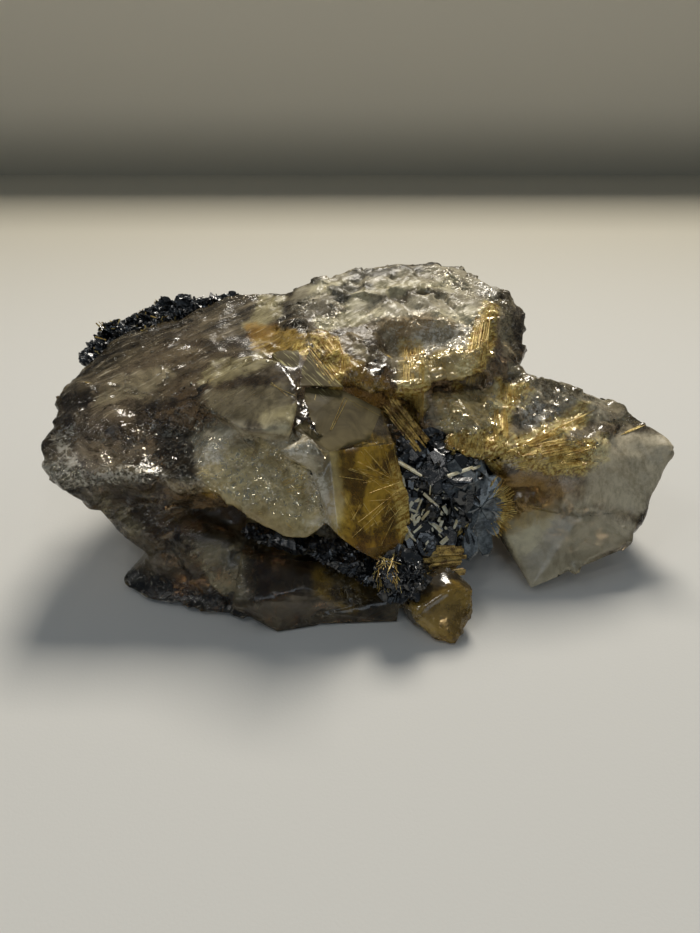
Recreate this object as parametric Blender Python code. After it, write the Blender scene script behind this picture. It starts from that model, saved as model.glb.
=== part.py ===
"""A rutilated smoky quartz specimen: one grown mass of quartz with crystals of hematite and rutile on it.

Frame: +X to the right of the show side, +Y to its back, +Z up. The origin is at the centre of the outline,
at the level of the flat foot that the specimen rests on.
Corners are in millimetres from a mark near the middle of the foot. Finished meshes are in metres.
"""

import math

import bmesh
import bpy
import numpy as np
from mathutils import Matrix, Vector, noise

MM = 0.001
CENTRE = Vector((-1.0, 3.8, 0.0))  # centre of the outline, from the mark

# How the broken surface of the quartz is made.
GRAIN = 1.5 * MM
SCAR_SIZE = 9.0 * MM
SCAR_LEAN = 3.2 * MM
SCAR_STEP = 1.0 * MM
SWELL_SIZE = 24.0 * MM
SWELL_DEPTH = 1.2 * MM
QUARTZ_FACETS = 6200

CLEARANCE = 0.35 * MM

# Corners of the rough lumps of quartz.
LEFT_SLAB = (
    (-74, 12, 39), (-69, 20, 42), (-56, 32, 44), (-36, 38, 48), (-15, 38, 49.5), (-17, 4, 44),
    (-77, 3, 38), (-76, -10, 35), (-75.5, -19, 31), (-69, -22, 28), (-72, -17, 22), (-65, -20, 18),
    (-57, -22, 30), (-47, -22, 30), (-30, -22, 28), (-15, -18, 28), (-70, 14, 24), (-58, 34, 22),
    (-20, 36, 16), (-50, -14, 10),
)
RIGHT_CROWN = (
    (-22, 38, 49.5), (-13, 40, 51.5), (-6, 46, 53), (10, 47, 54), (26, 50, 52), (33, 40, 51),
    (36, 36, 50), (41.5, 31, 46.5), (42, 23, 41.5), (37, 14, 37), (34, 26, 49), (25, 20, 48),
    (12, 16, 47), (-6, 16, 46), (-18, 8, 45), (-12, 2, 41), (5, 0, 38), (14, 0, 39), (24, 4, 39),
    (34, 44, 20), (0, 48, 18), (38, 20, 22),
)
FRONT_LUMP = (
    (-44, -1, 37), (-38, 6, 42), (-28, 8, 45), (-19, 3, 43), (-17, -6, 41), (-18, -12, 38),
    (-30, -12, 38), (-12, -20, 34), (-9, -23, 29), (-8, -27, 23), (-11, -30, 19), (-16, -32, 17),
    (-20, -30, 18), (-27, -27, 22), (-33, -23, 25), (-40, -20, 27), (-20, -10, 14), (-34, 0, 16),
)
SADDLE = (
    (10, 3, 36), (22, -1, 34), (37, 9, 35), (46, 16, 34), (54, 8, 31), (19, -11, 27), (30, -13, 26),
    (40, -9, 27), (12, -6, 31), (12, 10, 24), (40, 20, 20), (36, -4, 20), (20, 0, 24),
)
RIGHT_WING = (
    (38, 14, 38), (46, 18, 34), (58, 11, 31), (66, 5, 30), (72, 2, 28), (74, -5, 24),
    (70.5, -10.5, 18), (66.5, -14.5, 11.5), (62, -18.5, 9.5), (48, -22, 8), (44, 22, 20),
    (60, 14, 14), (66, 4, 10), (30, -10, 24), (34, -12, 12), (40, -11, 27), (50, -9, 24),
    (36, 8, 8), (52, 0, 6), (26, -8, 24), (27, -8, 14),
)
WING_SHELF = (
    (29, -14, 18), (31, -18, 9), (36, -24, 5), (48, -22, 7), (56, -16, 14), (46, -12, 20),
    (36, -6, 8), (48, -8, 6),
)
LOWER_LEFT = (
    (-65, -19, 19), (-62, -21, 14), (-53, -25, 7), (-44, -28, 5), (-33, -34, 4), (-27, -35, 5),
    (-30, -26, 13), (-40, -20, 15), (-54, -20, 19), (-60, -8, 18), (-40, 0, 4), (-54, -8, 6),
    (-24, -10, 6),
)
FLOOR_SLAB = (
    (-61, -25, 4.5), (-60, -28.5, 1), (-52, -26, 6), (-43, -29, 5), (-48, -35.5, 0.5),
    (-37, -38, 0.5), (-26, -38.5, 1), (-28, -30, 5), (-54, -12, 1), (-40, -6, 1), (-30, -10, 6),
    (-48, -8, 7),
)
HIDDEN_CORE = (
    (-46, -10, -2), (-30, -22, -2), (6, -24, -2), (22, -10, -2), (30, 12, -2), (20, 34, -2),
    (-20, 38, -2), (-50, 22, -2), (-54, 4, 14), (-34, -18, 14), (4, -20, 12), (10, -6, 22),
    (34, 20, 24), (24, 42, 26), (-20, 42, 26), (-60, 26, 26), (-30, 0, 34), (10, 20, 36),
)
BACK_BUTTRESS = (
    (-50, 26, 30), (-34, 46, 28), (-8, 50, 22), (16, 52, 30), (30, 44, 34), (-30, 40, 6),
    (10, 42, 5), (-10, 24, 38),
)
ROUGH_LUMPS = (
    LEFT_SLAB, RIGHT_CROWN, FRONT_LUMP, SADDLE, RIGHT_WING, WING_SHELF, LOWER_LEFT, FLOOR_SLAB,
    HIDDEN_CORE, BACK_BUTTRESS,
)

# Hollows broken out of the rough lumps before their surface is drawn.
LEFT_NOTCH = (
    (-62.5, -12, 35), (-41, -2.5, 37), (-59, -21, 30.8), (-37, -23, 30.3), (-60, -16.5, 29.5),
    (-38, -15, 30.5), (-64, -24, 40), (-38, -20, 42),
)
CROWN_POCKET = (
    (1, 20, 46.8), (11, 21.5, 47.8), (21, 19, 47.5), (3, 9, 42), (14, 8, 43), (23, 11.5, 43.5),
    (3, 16, 41), (13, 17, 41), (22, 17, 42.5), (2, 9, 50), (12, 9, 51), (22, 9, 51),
)
CROWN_UNDERCUT = (
    (13, 10, 39), (28, 12, 39), (13, 9, 35.5), (28, 11, 35.5), (12, -8, 40), (29, -8, 40),
    (12, -8, 36), (29, -8, 36),
)
HOLLOWS = (LEFT_NOTCH, CROWN_POCKET, CROWN_UNDERCUT)

# Corners of the quartz crystals that kept their flat faces.
FRONT_FLAKE = (
    (-43, -3, 39), (-40, 0.5, 41), (-31, 1, 43), (-26.5, 6, 44.5), (-21, 2.5, 45),
    (-17.5, -5, 43.8), (-17, -13, 41.5), (-18, -18, 39.2), (-23, -17.5, 38.7), (-28.5, -16, 37.8),
    (-34.5, -10, 37.8), (-40, -6, 38), (-38, -4, 30), (-20, 0, 34), (-20, -14, 32), (-30, -10, 30),
)
FRONT_LOBE = (
    (-14, -20, 38), (-11, -22.5, 35.5), (-16, -21.5, 35), (-20.5, -21, 36), (-16, -16, 36.5),
    (-12, -17, 33), (-20, -16, 30), (-12, -22, 30),
)
HONEY_CRYSTAL = (
    (-18, -1, 41), (-7, 0, 39), (2, -3, 35.5), (4.5, -11, 31.5), (-1, -12.5, 33.5),
    (-10, -18.5, 34), (-18, -14.5, 37.5), (6.5, -15.5, 25.5), (8.5, -21, 19), (8, -24, 16.5),
    (6.5, -27, 15), (1, -32, 14), (-4, -32, 17.5), (-8, -31, 20.5), (-10, -8, 20), (0, -14, 14),
    (-14, -22, 22),
)
BACK_PLATE = (
    (-25, 8, 45), (-18, 9.5, 45.5), (-15, 10, 45.5), (-7, -1, 40.5), (-18, -2, 41.5), (-20, 4, 36),
    (-8, 4, 34),
)
LOWER_CRYSTAL = (
    (-31, -39.5, 7.5), (-26, -38.5, 8.5), (-16, -35.5, 9.5), (-9, -35, 7), (-1.5, -35, 3),
    (-12, -38, 0.4), (-21.5, -40, 0.4), (-30, -29, 13), (-14, -27, 11.5), (-5, -33, 7),
    (-26, -15, 1), (0, -18, 3), (0, -20, 10),
)
BASE_CRYSTAL = (
    (-17, -38, 0.4), (5, -37, 0.4), (6, -34, 5), (-10, -37, 3), (-14, -24, 0.4), (4, -22, 0.4),
    (2, -20, 8),
)
SMALL_CRYSTAL = (
    (9, -40, 7), (16.5, -36.5, 10.5), (20, -39.5, 5.5), (17.5, -43.8, 0.4), (13, -43.2, 1),
    (9, -41, 4.5), (22, -35.8, 9), (22, -38.5, 4), (8, -38, 1), (4, -26, 4), (14, -24, 10),
    (14, -22, 3), (3, -30, 7),
)
WING_CRYSTAL = (
    (28, -13, 16), (31, -18, 8), (37, -28, 2), (46, -25, 5), (51, -24, 6), (61.5, -20.5, 8.5),
    (64, -14, 14), (48, -18, 15), (40, -4, 14), (54, -6, 14), (36, -6, 10),
)
CLEAN_CRYSTALS = (
    FRONT_FLAKE, FRONT_LOBE, HONEY_CRYSTAL, BACK_PLATE, LOWER_CRYSTAL, BASE_CRYSTAL, SMALL_CRYSTAL,
    WING_CRYSTAL,
)

# Hematite. A plate is its centre, the way it faces, its radius and its turn in degrees.
PLATE_THICKNESS = 1.3
HEMATITE_HEART = (
    (5, -8, 30), (14, -5, 32), (25, -5, 28), (27, -11, 20), (20, -17, 13), (10, -20, 14),
    (7, -14, 22), (16, -11, 25), (20, -4, 12), (8, -12, 10), (10, -26, 11), (3, -28, 10),
)
HEMATITE_CRUST = (
    (
        (-31, -24, 15), (-22, -28, 16), (-14, -30, 15), (-14, -24, 13), (-30, -20, 13),
        (-20, -20, 18),
    ),
    (
        (-15, -30, 15), (-6, -32, 13), (-2, -34, 9), (4, -34, 7), (4, -28, 14), (-6, -26, 10),
        (-14, -26, 16), (2, -26, 8),
    ),
)
ROSETTE_PLATES = (
    ((18, -10, 26), (0.1, -0.45, 0.9), 7.0, 10),
    ((12, -12, 25), (-0.4, -0.5, 0.75), 5.5, 35),
    ((22, -12, 22), (0.35, -0.75, 0.55), 6.5, 0),
    ((25, -13, 18), (0.75, -0.6, 0.3), 5.5, 20),
    ((22, -17, 15), (0.35, -0.9, 0.2), 5.5, 40),
    ((16, -15, 20), (-0.25, -0.85, 0.5), 6.0, 15),
    ((11, -18, 19), (-0.7, -0.5, 0.5), 5.0, 50),
    ((13, -21, 14), (0.1, -0.6, 0.8), 5.5, 25),
    ((18, -20, 11), (0.3, -0.85, 0.45), 5.0, 5),
    ((9, -24, 14), (-0.2, -0.7, 0.7), 4.5, 45),
)
BALL_CENTRE = (6, -33, 11)
BALL_RADIUS = 5.4
BALL_CORNERS = 46

BACK_EDGE_LUMPS = (
    (
        (-73, 13, 39.2), (-66, 22, 41.7), (-59, 25, 42.7), (-71, 26, 43.2), (-68, 31, 43.2),
        (-75, 18, 39.2), (-70, 22, 35), (-62, 30, 37),
    ),
    (
        (-60, 25, 42.7), (-54, 32, 44.2), (-65, 35, 42.7), (-59, 37, 45.2), (-52, 38, 46.2),
        (-60, 34, 35), (-50, 34, 39),
    ),
    (
        (-54, 32, 44.2), (-46, 34, 46.2), (-49, 39, 46.2), (-40, 39, 47.7), (-36, 39, 47.7),
        (-34, 36, 47.2), (-42, 35, 40.2),
    ),
)
BACK_EDGE_PLATES = (
    ((-71, 19, 40.2), (-0.6, -0.3, 0.7), 2.6, 10),
    ((-68, 25, 42.2), (0.3, -0.6, 0.75), 2.8, 40),
    ((-65, 31, 42.7), (-0.4, 0.2, 0.9), 2.6, 0),
    ((-60, 30, 43.2), (0.5, -0.5, 0.7), 2.6, 25),
    ((-57, 35, 44.7), (-0.5, -0.4, 0.7), 2.8, 5),
    ((-51, 36, 45.7), (-0.2, -0.7, 0.7), 2.8, 50),
    ((-45, 37, 46.2), (0.4, 0.3, 0.85), 2.4, 15),
    ((-38, 38, 46.7), (-0.3, -0.5, 0.8), 2.2, 35),
)

# Rutile. A blade is its two ends, the way its flat side faces, its width and its thickness.
BUNDLE_BLADES = (
    ((2.5, -1, 36.5), (9, -8.5, 31.5), (0.3, 0.2, 1.0), 1.7, 1.1),
    ((4, -1, 36.5), (11, -9.5, 30.5), (0.3, 0.2, 1.0), 1.5, 1.3),
    ((5.5, -1.5, 36), (11.5, -8, 31.5), (0.5, 0.1, 1.0), 1.8, 1.0),
    ((3.5, -1.5, 35.5), (10, -10.5, 29), (0.1, 0.4, 1.0), 1.6, 1.0),
    ((6.5, -2, 35), (12.5, -10, 29), (0.4, 0.0, 1.0), 1.6, 1.2),
)
LOWER_BLADES = (
    ((11, -28, 11.5), (20, -25, 12), (0.1, -0.6, 0.8), 1.8, 0.9),
    ((11, -29, 10.5), (21, -27, 10.5), (0.0, -0.5, 0.9), 1.6, 1.0),
    ((11.5, -30, 9.5), (21.5, -28.5, 9.5), (0.1, -0.7, 0.7), 1.8, 1.0),
    ((12, -30, 8.5), (19.5, -29.5, 8), (0.0, -0.9, 0.4), 1.6, 1.0),
)
LONG_NEEDLE = ((5.5, -13, 27.5), (12.5, -16, 24.5), (0.2, -0.6, 0.8), 1.1, 0.7)


# The block that takes everything below the foot away.
BELOW_FOOT = [(x, y, z) for x in (-120, 120) for y in (-120, 120) for z in (-20, 0)]


def clear_scene():
    for item in list(bpy.data.objects):
        bpy.data.objects.remove(item)


def make_material(name, colour, roughness, metallic=0.0, transmission=0.0, ior=1.5):
    material = bpy.data.materials.new(name)
    material.use_nodes = True
    shader = material.node_tree.nodes["Principled BSDF"]
    shader.inputs["Base Color"].default_value = (*colour, 1.0)
    shader.inputs["Roughness"].default_value = roughness
    shader.inputs["Metallic"].default_value = metallic
    shader.inputs["Transmission Weight"].default_value = transmission
    shader.inputs["IOR"].default_value = ior
    material.diffuse_color = (*colour, 1.0)
    return material


def push_faces_out(shape, distance):
    """Move every flat face of a convex shape outwards by one distance."""
    moves = []
    for vert in shape.verts:
        normals = np.array([face.normal for face in vert.link_faces])
        move = np.linalg.lstsq(normals, np.full(len(normals), distance), rcond=0.1)[0]
        moves.append(Vector(move))
    for vert, move in zip(shape.verts, moves):
        vert.co += move


def give_material(solid, material):
    solid.data.materials.clear()
    solid.data.materials.append(material)
    for face in solid.data.polygons:
        face.material_index = 0


def hull_object(name, corners, swell=0.0):
    """The smallest convex solid around some corners, grown by swell on every side."""
    shape = bmesh.new()
    for corner in corners:
        shape.verts.new((Vector(corner) - CENTRE) * MM)
    bmesh.ops.convex_hull(shape, input=shape.verts)
    inner = [vert for vert in shape.verts if not vert.link_faces]
    bmesh.ops.delete(shape, geom=inner, context="VERTS")
    bmesh.ops.recalc_face_normals(shape, faces=shape.faces)
    if swell:
        push_faces_out(shape, swell)
    mesh = bpy.data.meshes.new(name)
    shape.to_mesh(mesh)
    shape.free()
    solid = bpy.data.objects.new(name, mesh)
    bpy.context.scene.collection.objects.link(solid)
    return solid


def settle(solid):
    """Keep the shape that the modifiers give, and take the modifiers off."""
    graph = bpy.context.evaluated_depsgraph_get()
    mesh = bpy.data.meshes.new_from_object(solid.evaluated_get(graph))
    solid.modifiers.clear()
    solid.data = mesh


def combine(solid, tool, operation, solver="EXACT"):
    cut = solid.modifiers.new("Combine", "BOOLEAN")
    cut.operation = operation
    cut.solver = solver
    cut.object = tool
    settle(solid)
    bpy.data.objects.remove(tool)


def keep_largest_shell(solid):
    """Remove chips and inner hollows that came loose from the main body."""
    shape = bmesh.new()
    shape.from_mesh(solid.data)
    unseen = set(shape.verts)
    shells = []
    while unseen:
        shell = []
        waiting = [unseen.pop()]
        while waiting:
            vert = waiting.pop()
            shell.append(vert)
            for edge in vert.link_edges:
                other = edge.other_vert(vert)
                if other in unseen:
                    unseen.remove(other)
                    waiting.append(other)
        shells.append(shell)
    shells.sort(key=len)
    for shell in shells[:-1]:
        bmesh.ops.delete(shape, geom=shell, context="VERTS")
    shape.to_mesh(solid.data)
    shape.free()


def scar_height(place, centre):
    """The height of one scar's leaning flat at a place."""
    lean = noise.cell_vector(centre * 13.7) - Vector((0.5, 0.5, 0.5))
    return lean.dot(place - centre) * SCAR_LEAN + (noise.cell(centre * 7.1) - 0.5) * SCAR_STEP


def broken_offset(place):
    """How far the broken surface stands out at a place: scars that cut each other, on a swell."""
    spot = place / SCAR_SIZE
    centres = noise.voronoi(spot)[1]
    heights = sorted(scar_height(spot, centre) for centre in centres)
    swell = noise.noise(place / SWELL_SIZE) * SWELL_DEPTH
    return heights[2] + swell


def roughen(solid):
    remesh = solid.modifiers.new("Grain", "REMESH")
    remesh.mode = "VOXEL"
    remesh.voxel_size = GRAIN
    settle(solid)
    keep_largest_shell(solid)
    moves = [vert.normal * broken_offset(vert.co) for vert in solid.data.vertices]
    for vert, move in zip(solid.data.vertices, moves):
        vert.co += move
    solid.data.calc_loop_triangles()
    thin = solid.modifiers.new("Facets", "DECIMATE")
    thin.ratio = QUARTZ_FACETS / len(solid.data.loop_triangles)
    settle(solid)


def cut_foot(solid):
    combine(solid, hull_object("Below", BELOW_FOOT), "DIFFERENCE")


def plate_corners(centre, facing, radius, turn):
    """The twelve corners of a six-sided plate."""
    axis = Vector(facing).normalized()
    across = axis.orthogonal().normalized()
    corners = []
    for side in range(6):
        arm = Matrix.Rotation(math.radians(turn + 60 * side), 3, axis) @ across * radius
        for half in (-0.5, 0.5):
            corners.append(Vector(centre) + arm + axis * PLATE_THICKNESS * half)
    return corners


def blade_corners(start, end, facing, width, thickness):
    """The eight corners of a straight blade with a flat side."""
    start = Vector(start)
    end = Vector(end)
    along = (end - start).normalized()
    sideways = along.cross(Vector(facing)).normalized()
    upward = sideways.cross(along)
    return [
        place + sideways * width * a + upward * thickness * b
        for place in (start, end) for a in (-0.5, 0.5) for b in (-0.5, 0.5)
    ]


def ball_corners(centre, radius, count):
    """Corners spread evenly over a ball, by the golden angle."""
    golden = math.pi * (3.0 - math.sqrt(5.0))
    corners = []
    for index in range(count):
        height = 1.0 - 2.0 * (index + 0.5) / count
        ring = math.sqrt(1.0 - height * height)
        reach = radius * (1.0 + 0.06 * math.sin(index * 2.3))
        spoke = Vector((ring * math.cos(golden * index), ring * math.sin(golden * index), height))
        corners.append(Vector(centre) + spoke * reach)
    return corners


def make_cluster(name, parts, material):
    """Join convex crystals. The exact solver drops whole ones where they share a corner."""
    cluster = hull_object(name, parts[0])
    for corners in parts[1:]:
        combine(cluster, hull_object("Member", corners), "UNION", "MANIFOLD")
    give_material(cluster, material)
    return cluster


def clear_away(solid, parts):
    """Cut room for other minerals out of a solid, with the clearance all round.

    The exact solver loses the whole quartz here, so these cuts use the manifold one.
    """
    for corners in parts:
        combine(solid, hull_object("Room", corners, swell=CLEARANCE), "DIFFERENCE", "MANIFOLD")
    keep_largest_shell(solid)


def make_quartz(neighbours, material):
    quartz = hull_object("smoky_quartz", ROUGH_LUMPS[0])
    for corners in ROUGH_LUMPS[1:]:
        combine(quartz, hull_object("Lump", corners), "UNION")
    for corners in HOLLOWS:
        combine(quartz, hull_object("Hollow", corners), "DIFFERENCE")
    roughen(quartz)
    # The exact solver keeps one crystal and drops the rest of the quartz here.
    for corners in CLEAN_CRYSTALS:
        combine(quartz, hull_object("Crystal", corners), "UNION", "MANIFOLD")
    cut_foot(quartz)
    clear_away(quartz, neighbours)
    give_material(quartz, material)


def make_specimen():
    smoky = make_material("smoky quartz", (0.36, 0.31, 0.26), 0.1, transmission=0.6, ior=1.55)
    hematite = make_material("hematite", (0.03, 0.035, 0.042), 0.3, metallic=0.8)
    rutile = make_material("rutile", (0.75, 0.52, 0.2), 0.3, metallic=0.7)
    bundle = [blade_corners(*blade) for blade in BUNDLE_BLADES]
    lower_blades = [blade_corners(*blade) for blade in LOWER_BLADES]
    needle = [blade_corners(*LONG_NEEDLE)]
    rosette = [HEMATITE_HEART, *HEMATITE_CRUST, ball_corners(BALL_CENTRE, BALL_RADIUS, BALL_CORNERS)]
    rosette += [plate_corners(*plate) for plate in ROSETTE_PLATES]
    back_edge = [*BACK_EDGE_LUMPS, *[plate_corners(*plate) for plate in BACK_EDGE_PLATES]]
    make_cluster("rutile_bundle", bundle, rutile)
    make_cluster("rutile_lower_blades", lower_blades, rutile)
    make_cluster("rutile_needle", needle, rutile)
    clear_away(make_cluster("hematite_rosette", rosette, hematite), bundle + lower_blades + needle)
    make_cluster("hematite_back_edge", back_edge, hematite)
    make_quartz(rosette + back_edge + bundle + lower_blades + needle, smoky)


clear_scene()
make_specimen()
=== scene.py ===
# %% [markdown]
# Rutilated smoky quartz, dressed for its picture.
#
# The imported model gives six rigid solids: one mass of smoky quartz, two growths of hematite and three
# groups of rutile blades. They have the right size and the right big forms, but their faces are a few
# millimetres wide. This lesson keeps every big form where it is and gives each mineral its own fine surface
# and finish.

import itertools
import math

import bmesh
import bpy
import numpy as np
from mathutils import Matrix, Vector, noise
from mathutils.bvhtree import BVHTree
from mathutils.kdtree import KDTree


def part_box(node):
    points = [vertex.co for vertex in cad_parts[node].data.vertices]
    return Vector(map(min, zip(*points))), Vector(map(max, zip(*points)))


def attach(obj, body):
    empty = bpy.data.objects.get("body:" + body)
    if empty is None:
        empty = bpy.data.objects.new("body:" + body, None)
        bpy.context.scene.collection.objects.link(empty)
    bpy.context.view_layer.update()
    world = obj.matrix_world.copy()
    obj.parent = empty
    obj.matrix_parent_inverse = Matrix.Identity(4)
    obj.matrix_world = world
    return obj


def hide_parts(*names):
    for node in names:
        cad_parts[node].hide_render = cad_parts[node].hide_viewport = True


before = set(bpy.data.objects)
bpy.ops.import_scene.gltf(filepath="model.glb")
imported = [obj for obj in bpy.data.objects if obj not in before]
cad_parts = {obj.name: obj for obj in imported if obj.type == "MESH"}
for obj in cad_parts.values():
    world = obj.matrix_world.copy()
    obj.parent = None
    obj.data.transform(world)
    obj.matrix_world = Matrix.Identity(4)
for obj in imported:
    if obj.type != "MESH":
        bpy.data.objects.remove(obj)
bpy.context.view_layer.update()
MM = 0.001
BODY = "root"
print("solids:", sorted(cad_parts))


def add_thing(name, data):
    """A new object in the scene, at the origin and unturned."""
    thing = bpy.data.objects.new(name, data)
    bpy.context.scene.collection.objects.link(thing)
    return thing


# %% [markdown]
# ## The camera
#
# The threads of the sheet under the real specimen shrink towards a horizon just above the picture. Their
# spacing gives the tilt of the lens, and a usual thread pitch gives its height. The camera comes first,
# because the places of small things are named below by where they show in the picture.

# %% Camera
CAMERA_PLACE = Vector((-0.0045, -0.1498, 0.120))
CAMERA_TILT = math.radians(35.2)
SENSOR = 36.0
LENS = 27.05
PICTURE_WIDE = 700
PICTURE_HIGH = 933

camera_data = bpy.data.cameras.new("camera")
camera_data.sensor_width = SENSOR
camera_data.lens = LENS
camera_data.clip_start = 0.01
camera = add_thing("camera", camera_data)
camera.location = CAMERA_PLACE
camera.rotation_euler = (math.radians(90) - CAMERA_TILT, 0, 0)
bpy.context.scene.camera = camera
print("camera height", round(CAMERA_PLACE.z, 3), "m")

# %% [markdown]
# A place on the stone is easiest to name by the spot of the picture where it shows. The helpers below send
# a ray through that spot and return where it meets the solids, so whatever is put there sits on the stone
# from all sides.

# %% Find a place on the stone
PIXELS_PER_SLOPE = PICTURE_HIGH * LENS / SENSOR
# where a ray that misses the stone looks for the nearest part of it, in metres from the camera
MISS_DEPTHS = [0.15 + 0.01 * step for step in range(15)]


def tree_of(*meshes):
    """A search tree over some meshes."""
    points = []
    faces = []
    for mesh in meshes:
        start = len(points)
        points += [vert.co.copy() for vert in mesh.vertices]
        faces += [[start + index for index in face.vertices] for face in mesh.polygons]
    return BVHTree.FromPolygons(points, faces)


quartz_tree = tree_of(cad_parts["smoky_quartz"].data)
whole_tree = tree_of(*[node.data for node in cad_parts.values()])


def ray_through(across, down):
    """The direction in which a spot of the picture lies, from the camera."""
    right = (across - PICTURE_WIDE / 2) / PIXELS_PER_SLOPE
    up = (PICTURE_HIGH / 2 - down) / PIXELS_PER_SLOPE
    return (camera.rotation_euler.to_matrix() @ Vector((right, up, -1))).normalized()


def place_at(spot, tree=quartz_tree):
    """Where a spot of the picture meets the stone, and the way the surface faces there."""
    direction = ray_through(*spot)
    place, facing, _, _ = tree.ray_cast(CAMERA_PLACE, direction)
    if place is None:
        nearest = min(MISS_DEPTHS, key=lambda far: tree.find_nearest(CAMERA_PLACE + direction * far)[3])
        place, facing, _, _ = tree.find_nearest(CAMERA_PLACE + direction * nearest)
    return place, facing


print("the honey crystal shows at", [round(c, 3) for c in place_at((375, 500))[0]])

# %% [markdown]
# ## Modelling helpers
#
# Each new piece is modelled by hand steps: a primitive, edit-mode operators, then modifiers that are
# applied. The operators work on whatever is selected, so one helper first clears the selection.

# %% Modelling helpers
def only(piece):
    """Selects one object and nothing else."""
    if bpy.context.object and bpy.context.object.mode != "OBJECT":
        bpy.ops.object.mode_set(mode="OBJECT")
    bpy.ops.object.select_all(action="DESELECT")
    piece.select_set(True)
    bpy.context.view_layer.objects.active = piece
    return piece


def with_modifier(piece, kind, **settings):
    """Adds a modifier with its settings and applies it."""
    only(piece)
    modifier = piece.modifiers.new(kind.title(), kind)
    for name, value in settings.items():
        setattr(modifier, name, value)
    bpy.ops.object.modifier_apply(modifier=modifier.name)
    return piece


def in_edit_mode(piece, *steps):
    """Runs edit-mode steps on a whole mesh."""
    only(piece)
    bpy.ops.object.mode_set(mode="EDIT")
    bpy.ops.mesh.select_all(action="SELECT")
    for step in steps:
        step()
    bpy.ops.object.mode_set(mode="OBJECT")
    return piece


def numbers_of(items, field, each=1, kind=np.int64):
    """The numbers that each part of a mesh holds under a name."""
    numbers = np.empty(len(items) * each, kind)
    items.foreach_get(field, numbers)
    return numbers


def rows_of(items, field):
    """One vector of each point or face of a mesh, as the rows of an array."""
    return numbers_of(items, field, 3, float).reshape(-1, 3)


def points_of(mesh):
    """The points of a mesh."""
    return rows_of(mesh.vertices, "co")


def facings_of(mesh):
    """The way each point of a mesh faces."""
    return rows_of(mesh.vertices, "normal")


def ends_of(mesh):
    """The two point numbers of each edge of a mesh."""
    return numbers_of(mesh.edges, "vertices", 2).reshape(-1, 2)


def move_points(mesh, points):
    """Writes an array of points back into a mesh."""
    mesh.vertices.foreach_set("co", points.ravel())
    mesh.update()


def paint(red, green, blue):
    """A colour named by its eight-bit screen values, as a linear colour for a shader."""
    def straight(value):
        value /= 255
        return value / 12.92 if value <= 0.04045 else ((value + 0.055) / 1.055) ** 2.4
    return (straight(red), straight(green), straight(blue), 1.0)


def copy_of(node_name, piece_name):
    """A bare copy of a solid, with its loose triangles joined."""
    piece = add_thing(piece_name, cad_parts[node_name].data.copy())
    piece.data.materials.clear()
    return in_edit_mode(piece, lambda: bpy.ops.mesh.remove_doubles(threshold=0.01 * MM))


def settle(piece, slot_name, *nodes):
    """Lets a piece ride the body and hides the solids that it stands for. The slot name is not used."""
    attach(piece, BODY)
    if nodes:
        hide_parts(*nodes)
    return piece


print("helpers ready")

# %% [markdown]
# ## The quartz
#
# The solid has flat faces of a few millimetres. The real surface is of two kinds. Where the mass was broken
# it is glassy and full of small shell-shaped scars, and where a crystal grew freely it is a smooth plane. A
# remesh would round the crystal edges, so the long edges are cut in half again and again instead: that
# keeps every edge where it is and gives the skin enough points to take the small scars.
#
# A free crystal face is a wide flat region of the solid, and the broken ground has none wider than a few
# square millimetres. So the area of the flat region that a face belongs to tells the two kinds apart.

# %% Tell crystal faces from broken ground
FLAT_AREA = 14 * MM * MM
SAME_PLANE = math.cos(math.radians(1.5))

quartz = copy_of("smoky_quartz", "quartz_mass")


def flat_regions(mesh):
    """For each face of a mesh the flat region that it belongs to, and the area of that region."""
    shape = bmesh.new()
    shape.from_mesh(mesh)
    shape.faces.ensure_lookup_table()
    area = [0.0] * len(shape.faces)
    number = [0] * len(shape.faces)
    seen = set()
    for first in shape.faces:
        if first.index in seen:
            continue
        seen.add(first.index)
        region = [first]
        for face in region:
            for edge in face.edges:
                for other in edge.link_faces:
                    if other.index not in seen and other.normal.dot(first.normal) > SAME_PLANE:
                        seen.add(other.index)
                        region.append(other)
        total = sum(face.calc_area() for face in region)
        for face in region:
            area[face.index] = total
            number[face.index] = first.index
    shape.free()
    return number, area


coarse_tree = tree_of(quartz.data)
region_numbers, region_areas = flat_regions(quartz.data)
flatness = np.clip(np.array(region_areas) / FLAT_AREA - 0.6, 0, 1)
print("share of crystal faces:", round(float(flatness.mean()), 2))

# %% Cut the long edges in half until the skin is fine enough
ROUGH_EDGE = 0.95 * MM
FLAT_EDGE = 2.4 * MM
CUT_ROUNDS = 6
FOOT_HEIGHT = 2 * MM


def flat_under(places):
    """How much each place lies on a crystal face, from 0 to 1."""
    return np.array([flatness[coarse_tree.find_nearest(Vector(place))[2]] for place in places])


def select_long_edges(piece):
    """Selects the edges that are still too long: more is allowed on crystal faces and under the foot."""
    mesh = piece.data
    ends = ends_of(mesh)
    where = points_of(mesh)
    middles = where[ends].mean(axis=1)
    lengths = np.linalg.norm(where[ends[:, 0]] - where[ends[:, 1]], axis=1)
    calm = np.maximum(flat_under(middles), np.clip(1 - middles[:, 2] / FOOT_HEIGHT, 0, 1))
    chosen = lengths > ROUGH_EDGE + calm * (FLAT_EDGE - ROUGH_EDGE)
    mesh.edges.foreach_set("select", chosen)
    return int(chosen.sum())


in_edit_mode(quartz, lambda: bpy.ops.mesh.select_mode(type="EDGE"))
for _ in range(CUT_ROUNDS):
    in_edit_mode(quartz, lambda: bpy.ops.mesh.select_all(action="DESELECT"))
    if select_long_edges(quartz) == 0:
        break
    bpy.ops.object.mode_set(mode="EDIT")
    bpy.ops.mesh.subdivide(number_cuts=1)
    bpy.ops.mesh.select_all(action="SELECT")
    bpy.ops.mesh.quads_convert_to_tris(quad_method="SHORTEST_DIAGONAL", ngon_method="BEAUTY")
    bpy.ops.object.mode_set(mode="OBJECT")
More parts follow.
